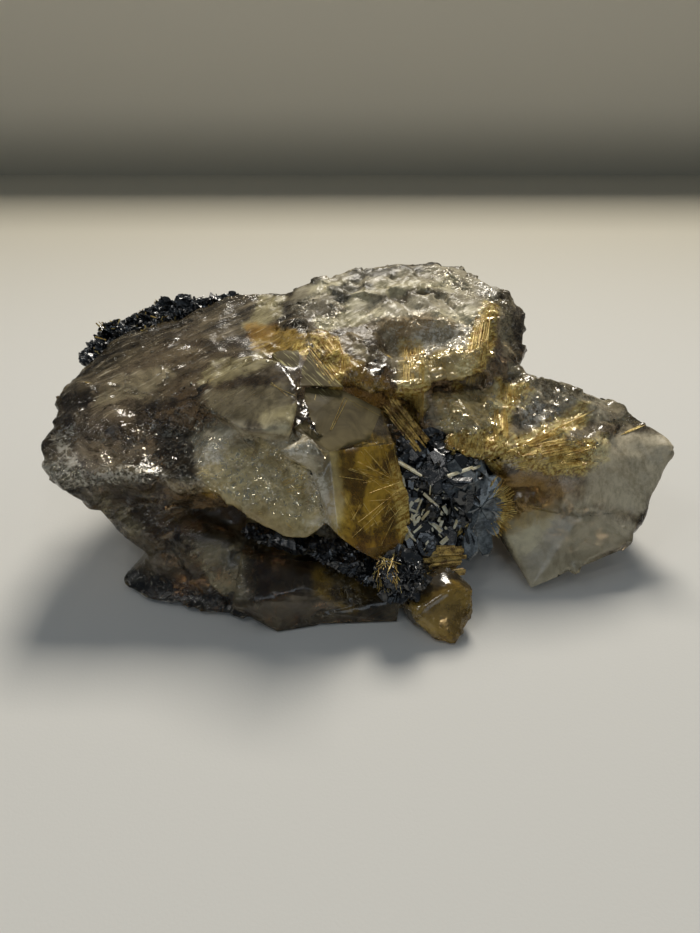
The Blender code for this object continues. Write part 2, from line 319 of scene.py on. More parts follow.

# %% [markdown]
# ## Zones of the stone
#
# The stone isn't one colour. Iron has stained parts of it amber, hair-fine rutile makes other parts gold,
# some ground is milky or frosted with tiny cracks, one crystal has a matt olive face, and thick clear parts
# look dark brown. Where the broken ground sparkles, the frosted patches are also painted pale: painted
# glints. Each zone is drawn as a few patches of the picture. A patch is filled with spots, every
# spot is found on the stone, and a point of the skin belongs to the zone when it lies close to one of its
# spots.

# %% Zone patches, as corners in the picture
ZONES = {
    "amber": (
        ((251, 326), (272, 330), (303, 336), (297, 343), (271, 353), (258, 346)),
        ((331, 452), (371, 440), (395, 444), (401, 472), (410, 502), (412, 521), (401, 542), (374, 558),
         (352, 545), (336, 533), (340, 502), (345, 478)), ((440, 398), (492, 392), (490, 420), (446, 424)),
        ((208, 472), (262, 446), (302, 470), (316, 514), (290, 545), (256, 520), (214, 490)),
        ((228, 450), (267, 455), (268, 480), (231, 482)), ((208, 475), (233, 478), (236, 496), (210, 494)),
        ((259, 510), (316, 516), (316, 541), (296, 551), (273, 547), (254, 525)),
        ((236, 484), (262, 484), (258, 500)), ((355, 388), (382, 384), (399, 401), (387, 413), (362, 405)),
        ((339, 357), (355, 365), (368, 380), (340, 390)), ((424, 360), (462, 352), (470, 378), (426, 384)),
        ((504, 475), (558, 493), (548, 513), (507, 526)),
        ((416, 606), (456, 586), (475, 600), (468, 628), (452, 646), (420, 630)),
        ((266, 512), (290, 500), (300, 506), (280, 520)), ((320, 572), (371, 590), (355, 606), (320, 587)),
    ),
    "gold": (
        ((487, 303), (494, 306), (491, 349), (475, 371), (459, 384), (466, 349), (482, 330)),
        ((404, 346), (415, 346), (424, 384), (418, 422), (408, 418), (403, 388)),
        ((450, 437), (493, 431), (493, 466), (451, 461)), ((499, 384), (528, 388), (523, 402), (504, 405)),
        ((496, 405), (508, 408), (504, 455), (492, 452)), ((502, 450), (582, 408), (585, 417), (523, 462)),
        ((520, 458), (604, 440), (604, 453), (583, 468), (555, 470), (530, 464)),
        ((299, 345), (338, 372), (338, 388)), ((316, 336), (330, 336), (340, 356), (334, 360)),
        ((396, 470), (410, 500), (411, 530), (404, 530), (400, 500)),
    ),
    "haze": (
        ((300, 290), (360, 268), (450, 264), (496, 285), (500, 310), (440, 316), (380, 314), (320, 322),
         (290, 300)), ((118, 378), (160, 370), (166, 376), (140, 392), (100, 402)),
        ((210, 395), (280, 388), (292, 412), (222, 424)),
        ((40, 466), (95, 468), (150, 470), (160, 476), (70, 480)),
        ((160, 478), (260, 494), (250, 502), (170, 486)), ((200, 549), (243, 551), (253, 597), (218, 587)),
        ((100, 500), (140, 514), (134, 528), (104, 508)),
        ((606, 459), (676, 434), (676, 459), (636, 510), (628, 529), (583, 496)),
        ((360, 350), (420, 346), (410, 384)),
        ((505, 523), (548, 513), (568, 501), (599, 504), (619, 520), (628, 537), (590, 560), (561, 572),
         (531, 590)), ((190, 425), (290, 440), (330, 470), (330, 520), (280, 505), (215, 478)),
        ((496, 300), (510, 300), (512, 370)),
        ((520, 374), (560, 384), (640, 412), (628, 424), (570, 408), (524, 394)),
    ),
    "milk": (
        ((217, 363), (246, 358), (261, 355), (270, 361), (246, 371), (216, 380), (206, 381)),
        ((264, 295), (279, 298), (275, 315), (264, 323), (247, 325), (261, 310)),
        ((318, 284), (339, 284), (336, 291), (315, 290)), ((349, 294), (374, 288), (362, 302), (351, 305)),
        ((320, 321), (347, 316), (378, 313), (355, 321), (322, 326)),
        ((441, 313), (470, 309), (468, 319), (443, 321)),
        ((374, 284), (450, 281), (449, 288), (399, 289), (372, 292)),
        ((267, 418), (294, 409), (291, 432), (270, 431)), ((505, 523), (548, 515), (530, 545), (516, 550)),
    ),
    # pale frosted cracks, and pale paint where the broken ground glints: painted glints
    "frost_and_painted_glints": (
        ((317, 505), (338, 499), (340, 518), (328, 536), (317, 527)),
        ((283, 453), (300, 438), (312, 450), (288, 463)), ((309, 472), (331, 486), (328, 491), (312, 485)),
        ((199, 447), (221, 452), (219, 463), (199, 457)),
        ((430, 328), (466, 328), (466, 345), (430, 352), (412, 348)),
        ((480, 284), (496, 285), (492, 292), (482, 291)), ((62, 434), (72, 436), (76, 462), (64, 458)),
        ((40, 466), (95, 468), (150, 470), (160, 476), (70, 480)), ((504, 466), (545, 462), (517, 477)),
        ((524, 404), (556, 412), (550, 424), (530, 420)),
        ((178, 418), (184, 430), (176, 440), (164, 438), (166, 428)),
    ),
    "lilac": (
        ((600, 452), (630, 430), (684, 426), (690, 446), (676, 470), (640, 506), (628, 529), (606, 514),
         (583, 496)), ((548, 462), (600, 468), (583, 496), (560, 500), (552, 486)),
    ),
    "calm": (
        ((600, 452), (630, 430), (684, 426), (690, 446), (676, 470), (640, 506), (628, 529), (606, 514),
         (583, 496)), ((502, 470), (600, 466), (590, 500), (548, 514), (508, 527)),
        ((255, 512), (316, 519), (314, 541), (273, 547)),
        ((205, 395), (285, 386), (298, 420), (290, 434), (215, 432)),
        ((297, 347), (340, 386), (310, 388), (273, 352)),
    ),
    "bronze": (
        ((502, 470), (550, 478), (556, 498), (546, 512), (506, 527)),
        ((328, 450), (350, 447), (352, 476), (340, 490)),
    ),
    "smoke": (
        ((98, 429), (183, 396), (200, 388), (184, 416), (101, 446)),
        ((75, 439), (96, 436), (100, 462), (90, 467)),
        ((146, 418), (199, 418), (199, 452), (189, 471), (156, 472), (149, 446)),
        ((104, 446), (146, 430), (150, 466)),
        ((278, 300), (322, 302), (341, 313), (317, 325), (294, 328), (278, 313)),
        ((190, 345), (252, 336), (268, 346)), ((424, 388), (487, 384), (479, 395), (443, 403), (424, 397)),
        ((383, 291), (437, 288), (435, 293), (385, 298)), ((545, 473), (597, 466), (562, 492)),
        ((248, 551), (309, 557), (320, 582), (253, 597)), ((128, 574), (233, 602), (243, 618), (141, 594)),
        ((136, 508), (218, 518), (230, 534), (156, 531)), ((370, 345), (400, 342), (398, 368), (376, 366)),
        ((60, 400), (90, 395), (78, 430), (58, 430)), ((326, 430), (345, 470), (336, 490), (318, 452)),
    ),
    "soot": (
        ((334, 288), (368, 285), (347, 298), (336, 296)), ((355, 268), (393, 262), (391, 273), (355, 279)),
        ((405, 261), (456, 259), (454, 264), (406, 267)), ((330, 574), (372, 590), (366, 606), (338, 594)),
        ((290, 281), (318, 276), (316, 282), (292, 286)), ((128, 574), (233, 602), (240, 614), (141, 592)),
    ),
    "rust": (
        ((385, 323), (424, 317), (450, 321), (400, 330)), ((250, 326), (272, 328), (268, 336), (254, 336)),
        ((331, 500), (340, 498), (340, 508), (332, 510)), ((345, 545), (400, 545), (376, 560)),
        ((215, 505), (262, 520), (286, 534), (240, 522)), ((404, 346), (412, 346), (412, 372), (406, 372)),
    ),
    "glitter": (
        ((196, 440), (240, 436), (330, 440), (338, 500), (330, 530), (270, 508), (206, 480)),
        ((380, 318), (475, 318), (478, 352), (440, 362), (396, 356)),
        ((300, 298), (338, 306), (330, 324), (296, 322)), ((440, 400), (492, 396), (492, 430), (446, 430)),
        ((520, 384), (560, 390), (556, 420), (530, 420)), ((105, 440), (200, 420), (204, 476), (110, 470)),
        ((58, 430), (78, 430), (80, 470), (48, 480)), ((570, 440), (604, 440), (600, 466), (556, 470)),
        ((215, 400), (290, 388), (296, 420), (210, 430)), ((440, 268), (500, 285), (490, 300), (430, 290)),
        ((244, 552), (258, 552), (256, 568), (246, 566)),
    ),
}

CROWN_TOP = (
    ((300, 290), (360, 266), (450, 262), (500, 284), (484, 304), (440, 318), (380, 316), (320, 326),
     (290, 312)), ((380, 318), (478, 306), (478, 340), (440, 350), (396, 350)),
    ((200, 322), (262, 300), (300, 300), (334, 326), (326, 346), (262, 350), (214, 346)),
    ((326, 316), (390, 314), (404, 360), (350, 362)),
)
# parts painted brighter, a painted glow for the light that shines through the clear stone: how much, and
# their patches
PAINTED_GLOW_PATCHES = (
    (1.0, (((196, 438), (240, 430), (330, 438), (340, 500), (330, 535), (290, 550), (256, 522),
            (206, 482)),)),
    (0.9, (((426, 398), (496, 388), (500, 420), (440, 430)),
           ((600, 440), (676, 434), (640, 506), (590, 500)))),
    (0.8, (((505, 523), (568, 501), (628, 529), (590, 560), (531, 590)),
           ((380, 318), (478, 306), (470, 380), (400, 380)))),
    (0.6, (CROWN_TOP[0], ((510, 390), (600, 400), (600, 436), (510, 440)))),
)

# %% Fill the patches and find them on the stone
SPOT_PITCH = 4
ZONE_REACH = 2.0 * MM


def inside(spot, corners):
    """Whether a spot lies inside a patch: a line to the left crosses its border an odd number of times."""
    odd = False
    for (x1, y1), (x2, y2) in zip(corners, corners[1:] + corners[:1]):
        if (y1 > spot[1]) != (y2 > spot[1]) and spot[0] > x1 + (spot[1] - y1) * (x2 - x1) / (y2 - y1):
            odd = not odd
    return odd


def spots_in(corners):
    """The corners of a patch and the spots of a grid inside it."""
    across = [corner[0] for corner in corners]
    down = [corner[1] for corner in corners]
    grid = itertools.product(range(min(across), max(across) + 1, SPOT_PITCH),
                             range(min(down), max(down) + 1, SPOT_PITCH))
    return list(corners) + [spot for spot in grid if inside(spot, corners)]


def zone_strength(patches, where):
    """How strongly each point belongs to a zone: 1 near its spots, falling to 0 past their reach."""
    places = [place_at(spot)[0] for corners in patches for spot in spots_in(corners)]
    finder = KDTree(len(places))
    for index, place in enumerate(places):
        finder.insert(place, index)
    finder.balance()
    far = np.array([finder.find(Vector(point))[2] for point in where])
    return np.clip(1.5 - far / ZONE_REACH, 0, 1)


points = points_of(quartz.data)
zones = {name: zone_strength(patches, points) for name, patches in ZONES.items()}
zones["crown"] = zone_strength(CROWN_TOP, points)
zones["calm"] = np.maximum(zones["calm"], 0.25 * zones["crown"])
camera_ways = np.array(CAMERA_PLACE) - points
camera_ways /= np.linalg.norm(camera_ways, axis=1)[:, None]
zones["behind"] = np.clip(0.3 - 3 * (facings_of(quartz.data) * camera_ways).sum(axis=1), 0, 1)
# painted glow: how much brighter each point of the skin is painted
zones["lift"] = np.max([weight * zone_strength(patches, points) for weight, patches in PAINTED_GLOW_PATCHES], axis=0)
print("zones:", {name: round(float(strength.mean()), 3) for name, strength in zones.items()})

# %% [markdown]
# Two crystal faces look unlike the rest: one is matt and olive, and one is honey-coloured. Such a face ends
# at its edges, so it isn't drawn as a patch. A few spots on it are named, and every flat region that shows
# at one of them is claimed whole. That gives a number to each face of the skin, and the colour changes
# exactly at the crystal edge.

# %% Crystal faces with a finish of their own
FACE_SPOTS = {
    "matt": (
        (312, 400), (322, 425), (345, 415), (370, 420), (335, 440), (305, 425), (290, 365), (300, 375),
        (315, 372),
    ),
    "honey": (
        (350, 480), (375, 460), (385, 500), (365, 530), (395, 470), (345, 520), (400, 520), (380, 545),
        (360, 500),
    ),
}


def face_zone(spots):
    """1 on every face of the skin that lies in a flat region in which one of the spots shows."""
    claimed = set()
    for spot in spots:
        index = coarse_tree.find_nearest(place_at(spot)[0])[2]
        if flatness[index] > 0.5:
            claimed.add(region_numbers[index])
    middles = rows_of(quartz.data.polygons, "center")
    under = [coarse_tree.find_nearest(Vector(middle))[2] for middle in middles]
    return np.array([region_numbers[index] in claimed for index in under], np.float32)


face_zones = {name: face_zone(spots) for name, spots in FACE_SPOTS.items()}
print("faces:", {name: int(strength.sum()) for name, strength in face_zones.items()})

# %% [markdown]
# The broken ground of the solid is made of flat triangles. Each point is drawn a little towards the mean of
# its neighbours, again and again, which rounds the triangles and leaves the crystal faces and the foot as
# they are.

# %% Round the small facets of the broken ground a little
ROUNDING_STEPS = 12
SLAB_EDGE = -18 * MM
SLAB_BLEND = 12 * MM
ROUNDED_FROM = 1.0 * MM
LEAST_LOOSE = 0.07
CALM_LOOSE = 0.5

flat = flat_under(points)
facings = facings_of(quartz.data)
left_top = np.clip((SLAB_EDGE - points[:, 0]) / SLAB_BLEND, 0, 1) * np.clip(facings[:, 2] * 2.2 - 0.6, 0, 1)
ends = ends_of(quartz.data)
neighbours = np.bincount(ends.ravel(), minlength=len(points))
above_foot = np.clip(points[:, 2] / ROUNDED_FROM, 0, 1)
loose = (1 - flat) * above_foot * (LEAST_LOOSE + CALM_LOOSE * np.maximum(left_top, zones["calm"]))
for _ in range(ROUNDING_STEPS):
    total = np.zeros_like(points)
    np.add.at(total, ends[:, 0], points[ends[:, 1]])
    np.add.at(total, ends[:, 1], points[ends[:, 0]])
    mean = total / neighbours[:, None]
    points = points + (mean - points) * loose[:, None]
move_points(quartz.data, points)
facings = facings_of(quartz.data)
print("quartz skin:", len(points), "points")

# %% [markdown]
# ## Small scars
#
# Quartz breaks in small leaning chips. Every chip is a cell of a random pattern: the surface leans one way
# inside the cell and steps at its border. Two sizes of chip lie over each other. The top of the left slab
# also has ridges that all run one way, left by fibres that were parted from it.

# %% Chips, ridges and the finished surface
def cells(where, size, seed):
    """For each point the way from its cell's centre, and the cell's own random numbers."""
    dice_table = np.random.default_rng(seed).random((4096, 8))
    grid = np.floor(where / size).astype(np.int64)
    best = np.full(len(where), np.inf)
    offset = np.zeros((len(where), 3))
    dice = np.zeros((len(where), 8))
    for step in itertools.product((-1, 0, 1), repeat=3):
        cell = grid + np.array(step)
        index = (cell[:, 0] * 73856093 ^ cell[:, 1] * 19349663 ^ cell[:, 2] * 83492791) % 4096
        numbers = dice_table[index]
        away = where - (cell + numbers[:, :3]) * size
        far = (away ** 2).sum(axis=1)
        nearer = far < best
        best[nearer] = far[nearer]
        offset[nearer] = away[nearer]
        dice[nearer] = numbers[nearer]
    return offset, dice


def chips(where, size, lean, step, seed):
    """The height of leaning chips of one size."""
    offset, dice = cells(where, size, seed)
    return (offset * (dice[:, 3:6] - 0.5)).sum(axis=1) * 2 * lean + (dice[:, 6] - 0.5) * step


def soft_noise(where, size, seed):
    """Smooth noise of one size at each point, from -1 to 1."""
    shift = Vector((seed * 7.3, seed * 3.1, seed * 5.7))
    return np.array([noise.noise(Vector(point) / size + shift) for point in where])


def along(where, direction, stretch):
    """Points squeezed along one direction, so that a pattern on them runs that way."""
    way = np.array(direction) / np.linalg.norm(direction)
    return where - np.outer(where @ way, way) * (1 - 1 / stretch)


STREAK_WAY = (1.0, 0.75, 0.15)
CHIP_LAYERS = ((7.0 * MM, 0.20, 0.25 * MM, 11), (3.2 * MM, 0.16, 0.06 * MM, 12))
RIDGE_HEIGHT = 0.10 * MM
FLAT_WAVE = 0.05 * MM
LEFT_END = -45 * MM

bent = points + 0.8 * MM * np.stack([soft_noise(points, 4 * MM, seed) for seed in (1, 2, 3)], axis=1)
height = sum(chips(bent, size, lean, step, seed) for size, lean, step, seed in CHIP_LAYERS)
ridges = soft_noise(along(points, STREAK_WAY, 7), 1.3 * MM, 4)
ridges += 0.5 * soft_noise(along(points, STREAK_WAY, 9), 0.8 * MM, 5)
left_end = np.clip((LEFT_END - points[:, 0]) / SLAB_BLEND, 0, 1)
height = height * (1 - 0.85 * np.maximum(left_top, zones["calm"])) * (1 - 0.6 * left_end)
height = height + ridges * RIDGE_HEIGHT * left_top
height = height * (1 - flat) + flat * FLAT_WAVE * soft_noise(points, 3 * MM, 6)
foot = np.clip(points[:, 2] / (1.5 * MM), 0, 1)
low, high = (np.array(corner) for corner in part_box("smoky_quartz"))
move_points(quartz.data, np.clip(points + facings * (height * foot)[:, None], low, high))
print("surface moved by up to", round(float(np.abs(height).max()) / MM, 2), "mm")

# %% Store the zones on the quartz
point_zones = {**zones, "flat": flat, "slab": left_top}
for domain, stored in (("POINT", point_zones), ("FACE", face_zones)):
    for name, strength in stored.items():
        layer = quartz.data.attributes.new(name, "FLOAT", domain)
        layer.data.foreach_set("value", strength.astype(np.float32))
only(quartz)
bpy.ops.object.shade_smooth_by_angle(angle=math.radians(38))
settle(quartz, "smoky_quartz", "smoky_quartz")
skin_tree = tree_of(quartz.data)
print("quartz triangles:", sum(len(face.vertices) - 2 for face in quartz.data.polygons))

# %% [markdown]
# ## Finishes
#
# A finish is a small network of nodes. To keep the networks readable, a number that comes out of a node is
# wrapped in a class with the usual arithmetic, so that a line of maths adds its own Math nodes. Every other
# node comes from one method, which takes the node's type, its settings and the values or links of its
# sockets.

# %% A class for shader maths
HALF = (0.5, 0.5, 0.5)
# the small steps of a break face up, give or take a little to every side
STEP_SPREAD = (0.9, 0.9, 0.3)
STEP_MEAN = (-0.42, -0.52, 0.85)
STEP_SIZE = MM / 0.9


class Number:
    """A number that varies over a surface, with arithmetic that adds Math nodes."""

    def __init__(self, finish, socket):
        self.finish = finish
        self.socket = socket

    def maths(self, operation, *others, clamp=False):
        values = {0: self}
        values.update({index + 1: other for index, other in enumerate(others)})
        settings = {"operation": operation, "use_clamp": clamp}
        return self.finish.node("ShaderNodeMath", settings, values)["Value"]

    def __add__(self, other):
        return self.maths("ADD", other)

    def __mul__(self, other):
        return self.maths("MULTIPLY", other)

    def __sub__(self, other):
        return self.maths("SUBTRACT", other)

    def __rsub__(self, other):
        return (self * -1) + other

    __radd__ = __add__
    __rmul__ = __mul__

    def clamp(self):
        return self.maths("ADD", 0.0, clamp=True)

    def ramp(self, low, high):
        """0 below low, 1 above high, and a soft rise between them."""
        rise = {"interpolation_type": "SMOOTHSTEP"}
        values = {"Value": self, "From Min": low, "From Max": high}
        return self.finish.node("ShaderNodeMapRange", rise, values)["Result"]


class Outputs:
    """The outputs of a node by name or number, with numbers wrapped."""

    def __init__(self, finish, node):
        self.finish = finish
        self.node = node

    def __getitem__(self, name):
        if isinstance(name, int):
            return self.node.outputs[name]
        socket = next(out for out in self.node.outputs if out.name == name and out.enabled)
        return Number(self.finish, socket) if socket.type == "VALUE" else socket


class Finish:
    """A material under construction."""

    def __init__(self, name):
        self.material = bpy.data.materials.new(name)
        self.material.use_nodes = True
        self.tree = self.material.node_tree
        self.tree.nodes.clear()
        self.place = self.node("ShaderNodeTexCoord", {}, {})["Object"]

    def node(self, kind, settings, values):
        """Adds a node: first its settings, then the values or links of its sockets."""
        made = self.tree.nodes.new(kind)
        for name, value in settings.items():
            setattr(made, name, value)
        for name, value in values.items():
            if isinstance(name, int):
                socket = made.inputs[name]
            else:
                socket = next(entry for entry in made.inputs if entry.name == name and entry.enabled)
            if isinstance(value, Number):
                value = value.socket
            if isinstance(value, bpy.types.NodeSocket):
                self.tree.links.new(value, socket)
            else:
                socket.default_value = value
        return Outputs(self, made)

    def vectors(self, operation, first, second, output="Vector"):
        """Vector maths on two vectors, or on a vector and the number that scales it."""
        other = "Scale" if operation == "SCALE" else 1
        return self.node("ShaderNodeVectorMath", {"operation": operation}, {0: first, other: second})[output]

    def coloured_noise(self, size, detail):
        """Soft noise as three numbers, each about a half, for pushing a vector about."""
        values = {"Vector": self.place, "Scale": 1 / size, "Detail": detail}
        return self.node("ShaderNodeTexNoise", {}, values)["Color"]

    def stretched(self, turn, scale):
        """The place on the piece, turned and then stretched."""
        return self.node("ShaderNodeMapping", {"vector_type": "TEXTURE"},
                         {"Vector": self.place, "Rotation": turn, "Scale": scale})["Vector"]

    def cloud(self, size, detail=4.0, rough=0.55, bend=0.0, place=None):
        """Soft noise whose patches are about one size, in metres."""
        values = {"Vector": place or self.place, "Scale": 1 / size, "Detail": detail, "Roughness": rough,
                  "Distortion": bend}
        output = "Factor" if bpy.app.version >= (5, 0, 0) else "Fac"
        return self.node("ShaderNodeTexNoise", {}, values)[output]

    def facets(self, size, place):
        """The height of small leaning facets, like the faces of crushed glass."""
        cell = self.node("ShaderNodeTexVoronoi", {}, {"Vector": place, "Scale": 1 / size})
        away = self.vectors("SUBTRACT", place, cell["Position"])
        lean = self.vectors("SUBTRACT", cell["Color"], HALF)
        return self.vectors("DOT_PRODUCT", away, lean, "Value")

    def wandering(self, size, reach):
        """The place on the piece, pushed about by noise so that cells on it get uneven, pointed outlines."""
        centred = self.vectors("SUBTRACT", self.coloured_noise(size, 2.0), HALF)
        return self.vectors("ADD", self.place, self.vectors("SCALE", centred, reach))

    def layer(self, name):
        """A number stored on the points of the mesh."""
        return self.node("ShaderNodeAttribute", {"attribute_name": name}, {})["Fac"]

    def blend(self, share, first, second):
        """A colour between two colours."""
        return self.node("ShaderNodeMix", {"data_type": "RGBA"}, {0: share, 6: first, 7: second})[2]

    def tones(self, share, dark, light):
        """A colour between two paints, which are given by their eight-bit screen values."""
        return self.blend(share, paint(*dark), paint(*light))

    def mixed(self, share, first, second):
        """One surface that turns into another."""
        return self.node("ShaderNodeMixShader", {}, {0: share, 1: first, 2: second})["Shader"]

    def bump(self, height, distance, strength):
        """A normal that follows a height."""
        values = {"Height": height, "Distance": distance, "Strength": strength}
        return self.node("ShaderNodeBump", {}, values)["Normal"]

    def levelled(self, normal, share):
        """A normal turned to nearly level where share is 1, as on the small steps and cracks of a break."""
        drift = self.coloured_noise(STEP_SIZE, 1.0)
        level = self.vectors("ADD", self.vectors("MULTIPLY", drift, STEP_SPREAD), STEP_MEAN)
        kept = self.vectors("SCALE", normal, 1 - share)
        total = self.vectors("ADD", kept, self.vectors("SCALE", level, share))
        return self.node("ShaderNodeVectorMath", {"operation": "NORMALIZE"}, {0: total})["Vector"]

    def surface(self, values):
        return self.node("ShaderNodeBsdfPrincipled", {}, values)["BSDF"]

    def done(self, surface, volume=None):
        values = {"Surface": surface}
        if volume:
            values["Volume"] = volume
        self.node("ShaderNodeOutputMaterial", {}, values)
        return self.material


print("shader helpers ready")

# %% [markdown]
# ## Smoky quartz
#
# Real quartz is glass to the eye: clear, with fine cracks and veils inside that scatter the light. A pure
# glass shader would show only the floor, bent and darkened, so the finish mixes three surfaces. One is
# clear, with the refraction of quartz and a faint brown absorption inside. One stands for the veils: it is
# opaque, pale or brown, and still has the glassy gloss. The last is matt, for the olive crystal face and
# the worn crown. Noise and the zones decide how much of each shows. Small steps in the broken ground turn
# the normal up so that they catch the lamps, and they are painted pale as well: painted glints. The parts
# that the light shines through are painted brighter, a painted glow.

# %% The quartz finish
QUARTZ_BEND = 1.544
SMOKE_DENSITY = 60.0
SMOKE_COLOUR = (0.62, 0.50, 0.34, 1.0)


def slope_between(first_spot, second_spot):
    """The turn that lays the x axis of a pattern along the line between two spots of the picture."""
    way = place_at(second_spot)[0] - place_at(first_spot)[0]
    return tuple(way.to_track_quat("X", "Z").to_euler())


def make_quartz_finish():
    f = Finish("smoky_quartz_finish")
    stored = ("flat", "slab", "glitter", "calm", "honey", "crown", "lift", "behind", "matt")
    flat_face, slab_top, sparkle, calm, honey, crown, lift, behind, matt_face = map(f.layer, stored)
    fray = f.cloud(3.2 * MM, 3.0, 0.7, 0.6) - 0.5
    zone = {}
    for name in ZONES:
        strength = f.layer(name)
        zone[name] = (strength + fray * 1.9 * strength.ramp(0.0, 0.5)).ramp(0.1, 1.1)

    # patterns: along the fibres of the slab, in all directions, upright, and as fine lines
    streak_place = f.stretched((0, -0.12, math.atan2(0.75, 1.0)), (8.0, 1.0, 1.0))
    streaks = f.cloud(1.2 * MM, 3.0, 0.7, 0.3, streak_place)
    bands = f.cloud(5.0 * MM, 3.0, 0.6, 0.6, streak_place)
    veils = f.cloud(8 * MM, 4.0, 0.62, 0.9)
    flecks = f.cloud(1.1 * MM, 3.0, 0.7, 0.4)
    mixed_grain = veils * 0.6 + flecks * 0.4
    silk = streaks * 0.6 + bands * 0.4
    pattern = mixed_grain + (silk - mixed_grain) * (slab_top * 0.85).maths("MAXIMUM", crown * 0.7)
    pattern = pattern + ((veils - 0.5) * 0.35 + 0.5 - pattern) * flat_face * 0.8
    upright_place = f.stretched((0.0, math.radians(-78), 0.25), (9.0, 1.0, 1.0))
    upright = f.cloud(1.1 * MM, 3.0, 0.65, 0.2, upright_place)
    line_place = f.stretched(slope_between((300, 352), (334, 384)), (18.0, 1.0, 1.0))
    lines = f.cloud(0.45 * MM, 2.0, 0.6, 0.1, line_place)
    hairs = f.cloud(0.6 * MM, 3.0, 0.6, 0.2, f.stretched((0.3, 0.2, 0.9), (14.0, 1.0, 1.0)))

    # paints: each coat lies over the ones before it
    colour = f.tones(pattern.ramp(0.40, 0.64), (36, 28, 16), (150, 134, 104))
    hazy = f.tones(pattern.ramp(0.36, 0.62), (100, 88, 62), (212, 198, 158))
    amber = f.tones(pattern.ramp(0.36, 0.64), (122, 90, 22), (226, 186, 84))
    coats = (
        (zone["haze"] * 0.7, hazy),
        # frosted cracks and painted glints: pale flecks
        (zone["frost_and_painted_glints"] * 0.75, f.tones(flecks.ramp(0.44, 0.60), (92, 84, 66), (240, 234, 218))),
        (zone["smoke"] * 0.85, f.tones(flecks.ramp(0.42, 0.68), (16, 12, 7), (64, 52, 34))),
        (zone["milk"] * 0.7, f.tones(pattern.ramp(0.36, 0.64), (142, 128, 84), (232, 218, 164))),
        (zone["amber"] * 0.8, amber),
        (honey * 0.85,
         f.tones((veils * 0.7 + upright * 0.3).ramp(0.40, 0.62), (108, 78, 10), (238, 190, 62))),
        (zone["lilac"] * 0.85,
         f.tones((upright * 0.75 + veils * 0.25).ramp(0.36, 0.64), (106, 94, 72), (186, 170, 138))),
        (zone["bronze"] * 0.85,
         f.tones((bands * 0.5 + upright * 0.5).ramp(0.40, 0.62), (64, 42, 8), (132, 98, 30))),
        (zone["gold"] * 0.8, f.tones(hairs.ramp(0.40, 0.62), (156, 114, 28), (255, 226, 130))),
        (zone["rust"] * 0.4, paint(160, 108, 40)),
        (zone["soot"] * 0.9, f.tones(flecks.ramp(0.5, 0.7), (14, 15, 16), (90, 88, 80))),
    )
    for amount, coat in coats:
        colour = f.blend(amount, colour, coat)
    # painted glow: the parts that light shines through are painted brighter
    colour = f.node("ShaderNodeGamma", {}, {"Color": colour, "Gamma": 1 - lift * 0.5})["Color"]

    # broken ground: pale seams, drifts on the far side, and small steps that glint, painted pale as painted
    # glints
    broken = (1 - flat_face) * (1 - slab_top * 0.7) * (1 - calm * 0.8)
    glints = f.cloud(1.5 * MM, 4.0, 0.75, 1.4)
    drifts = f.cloud(11 * MM, 3.0, 0.6, 1.2)
    seams = 1 - (f.cloud(5 * MM, 2.0, 0.6, 1.0) - 0.5).maths("ABSOLUTE").ramp(0.0, 0.010)
    glitter = (glints + sparkle * 0.085 - calm * 0.03).ramp(0.635, 0.655) * (1 - flat_face)
    flash_and_painted_glint = glitter.maths("MAXIMUM", streaks.ramp(0.62, 0.70) * slab_top * 0.6)
    late_coats = (
        # painted glow: a pale coat on the parts that light shines through
        (lift.ramp(0.5, 1.0) * 0.3, paint(226, 208, 160)),
        (drifts.ramp(0.48, 0.58) * behind * 0.75, hazy),
        (bands.ramp(0.54, 0.62) * behind * 0.75, amber),
        (seams * broken * 0.4, paint(216, 206, 182)),
        # painted glints: pale paint on the glinting steps and on the streaks of the slab
        (flash_and_painted_glint * 0.45, paint(240, 234, 214)),
    )
    for amount, coat in late_coats:
        colour = f.blend(amount, colour, coat)

    shards = f.wandering(2.0 * MM, 2.2 * MM)
    height = (f.facets(2.4 * MM, shards) * broken * (0.18 + sparkle * 0.5)
              + f.facets(1.05 * MM, shards) * broken * (0.05 + sparkle * 0.8)
              + streaks * 0.00035 * (slab_top + crown * 0.7))
    normal = f.levelled(f.bump(height, 1.0, 0.9), flash_and_painted_glint * (1 - sparkle * 0.6))
    dull = f.cloud(3.5 * MM, 2.0, 0.6)
    roughness = (0.10 + dull.ramp(0.45, 0.70) * 0.24 + zone["milk"] * 0.15 + zone["lilac"] * 0.15
                 + calm * 0.10 - sparkle * 0.12 - flash_and_painted_glint * 0.2 + flat_face * 0.08).maths("MAXIMUM", 0.06)

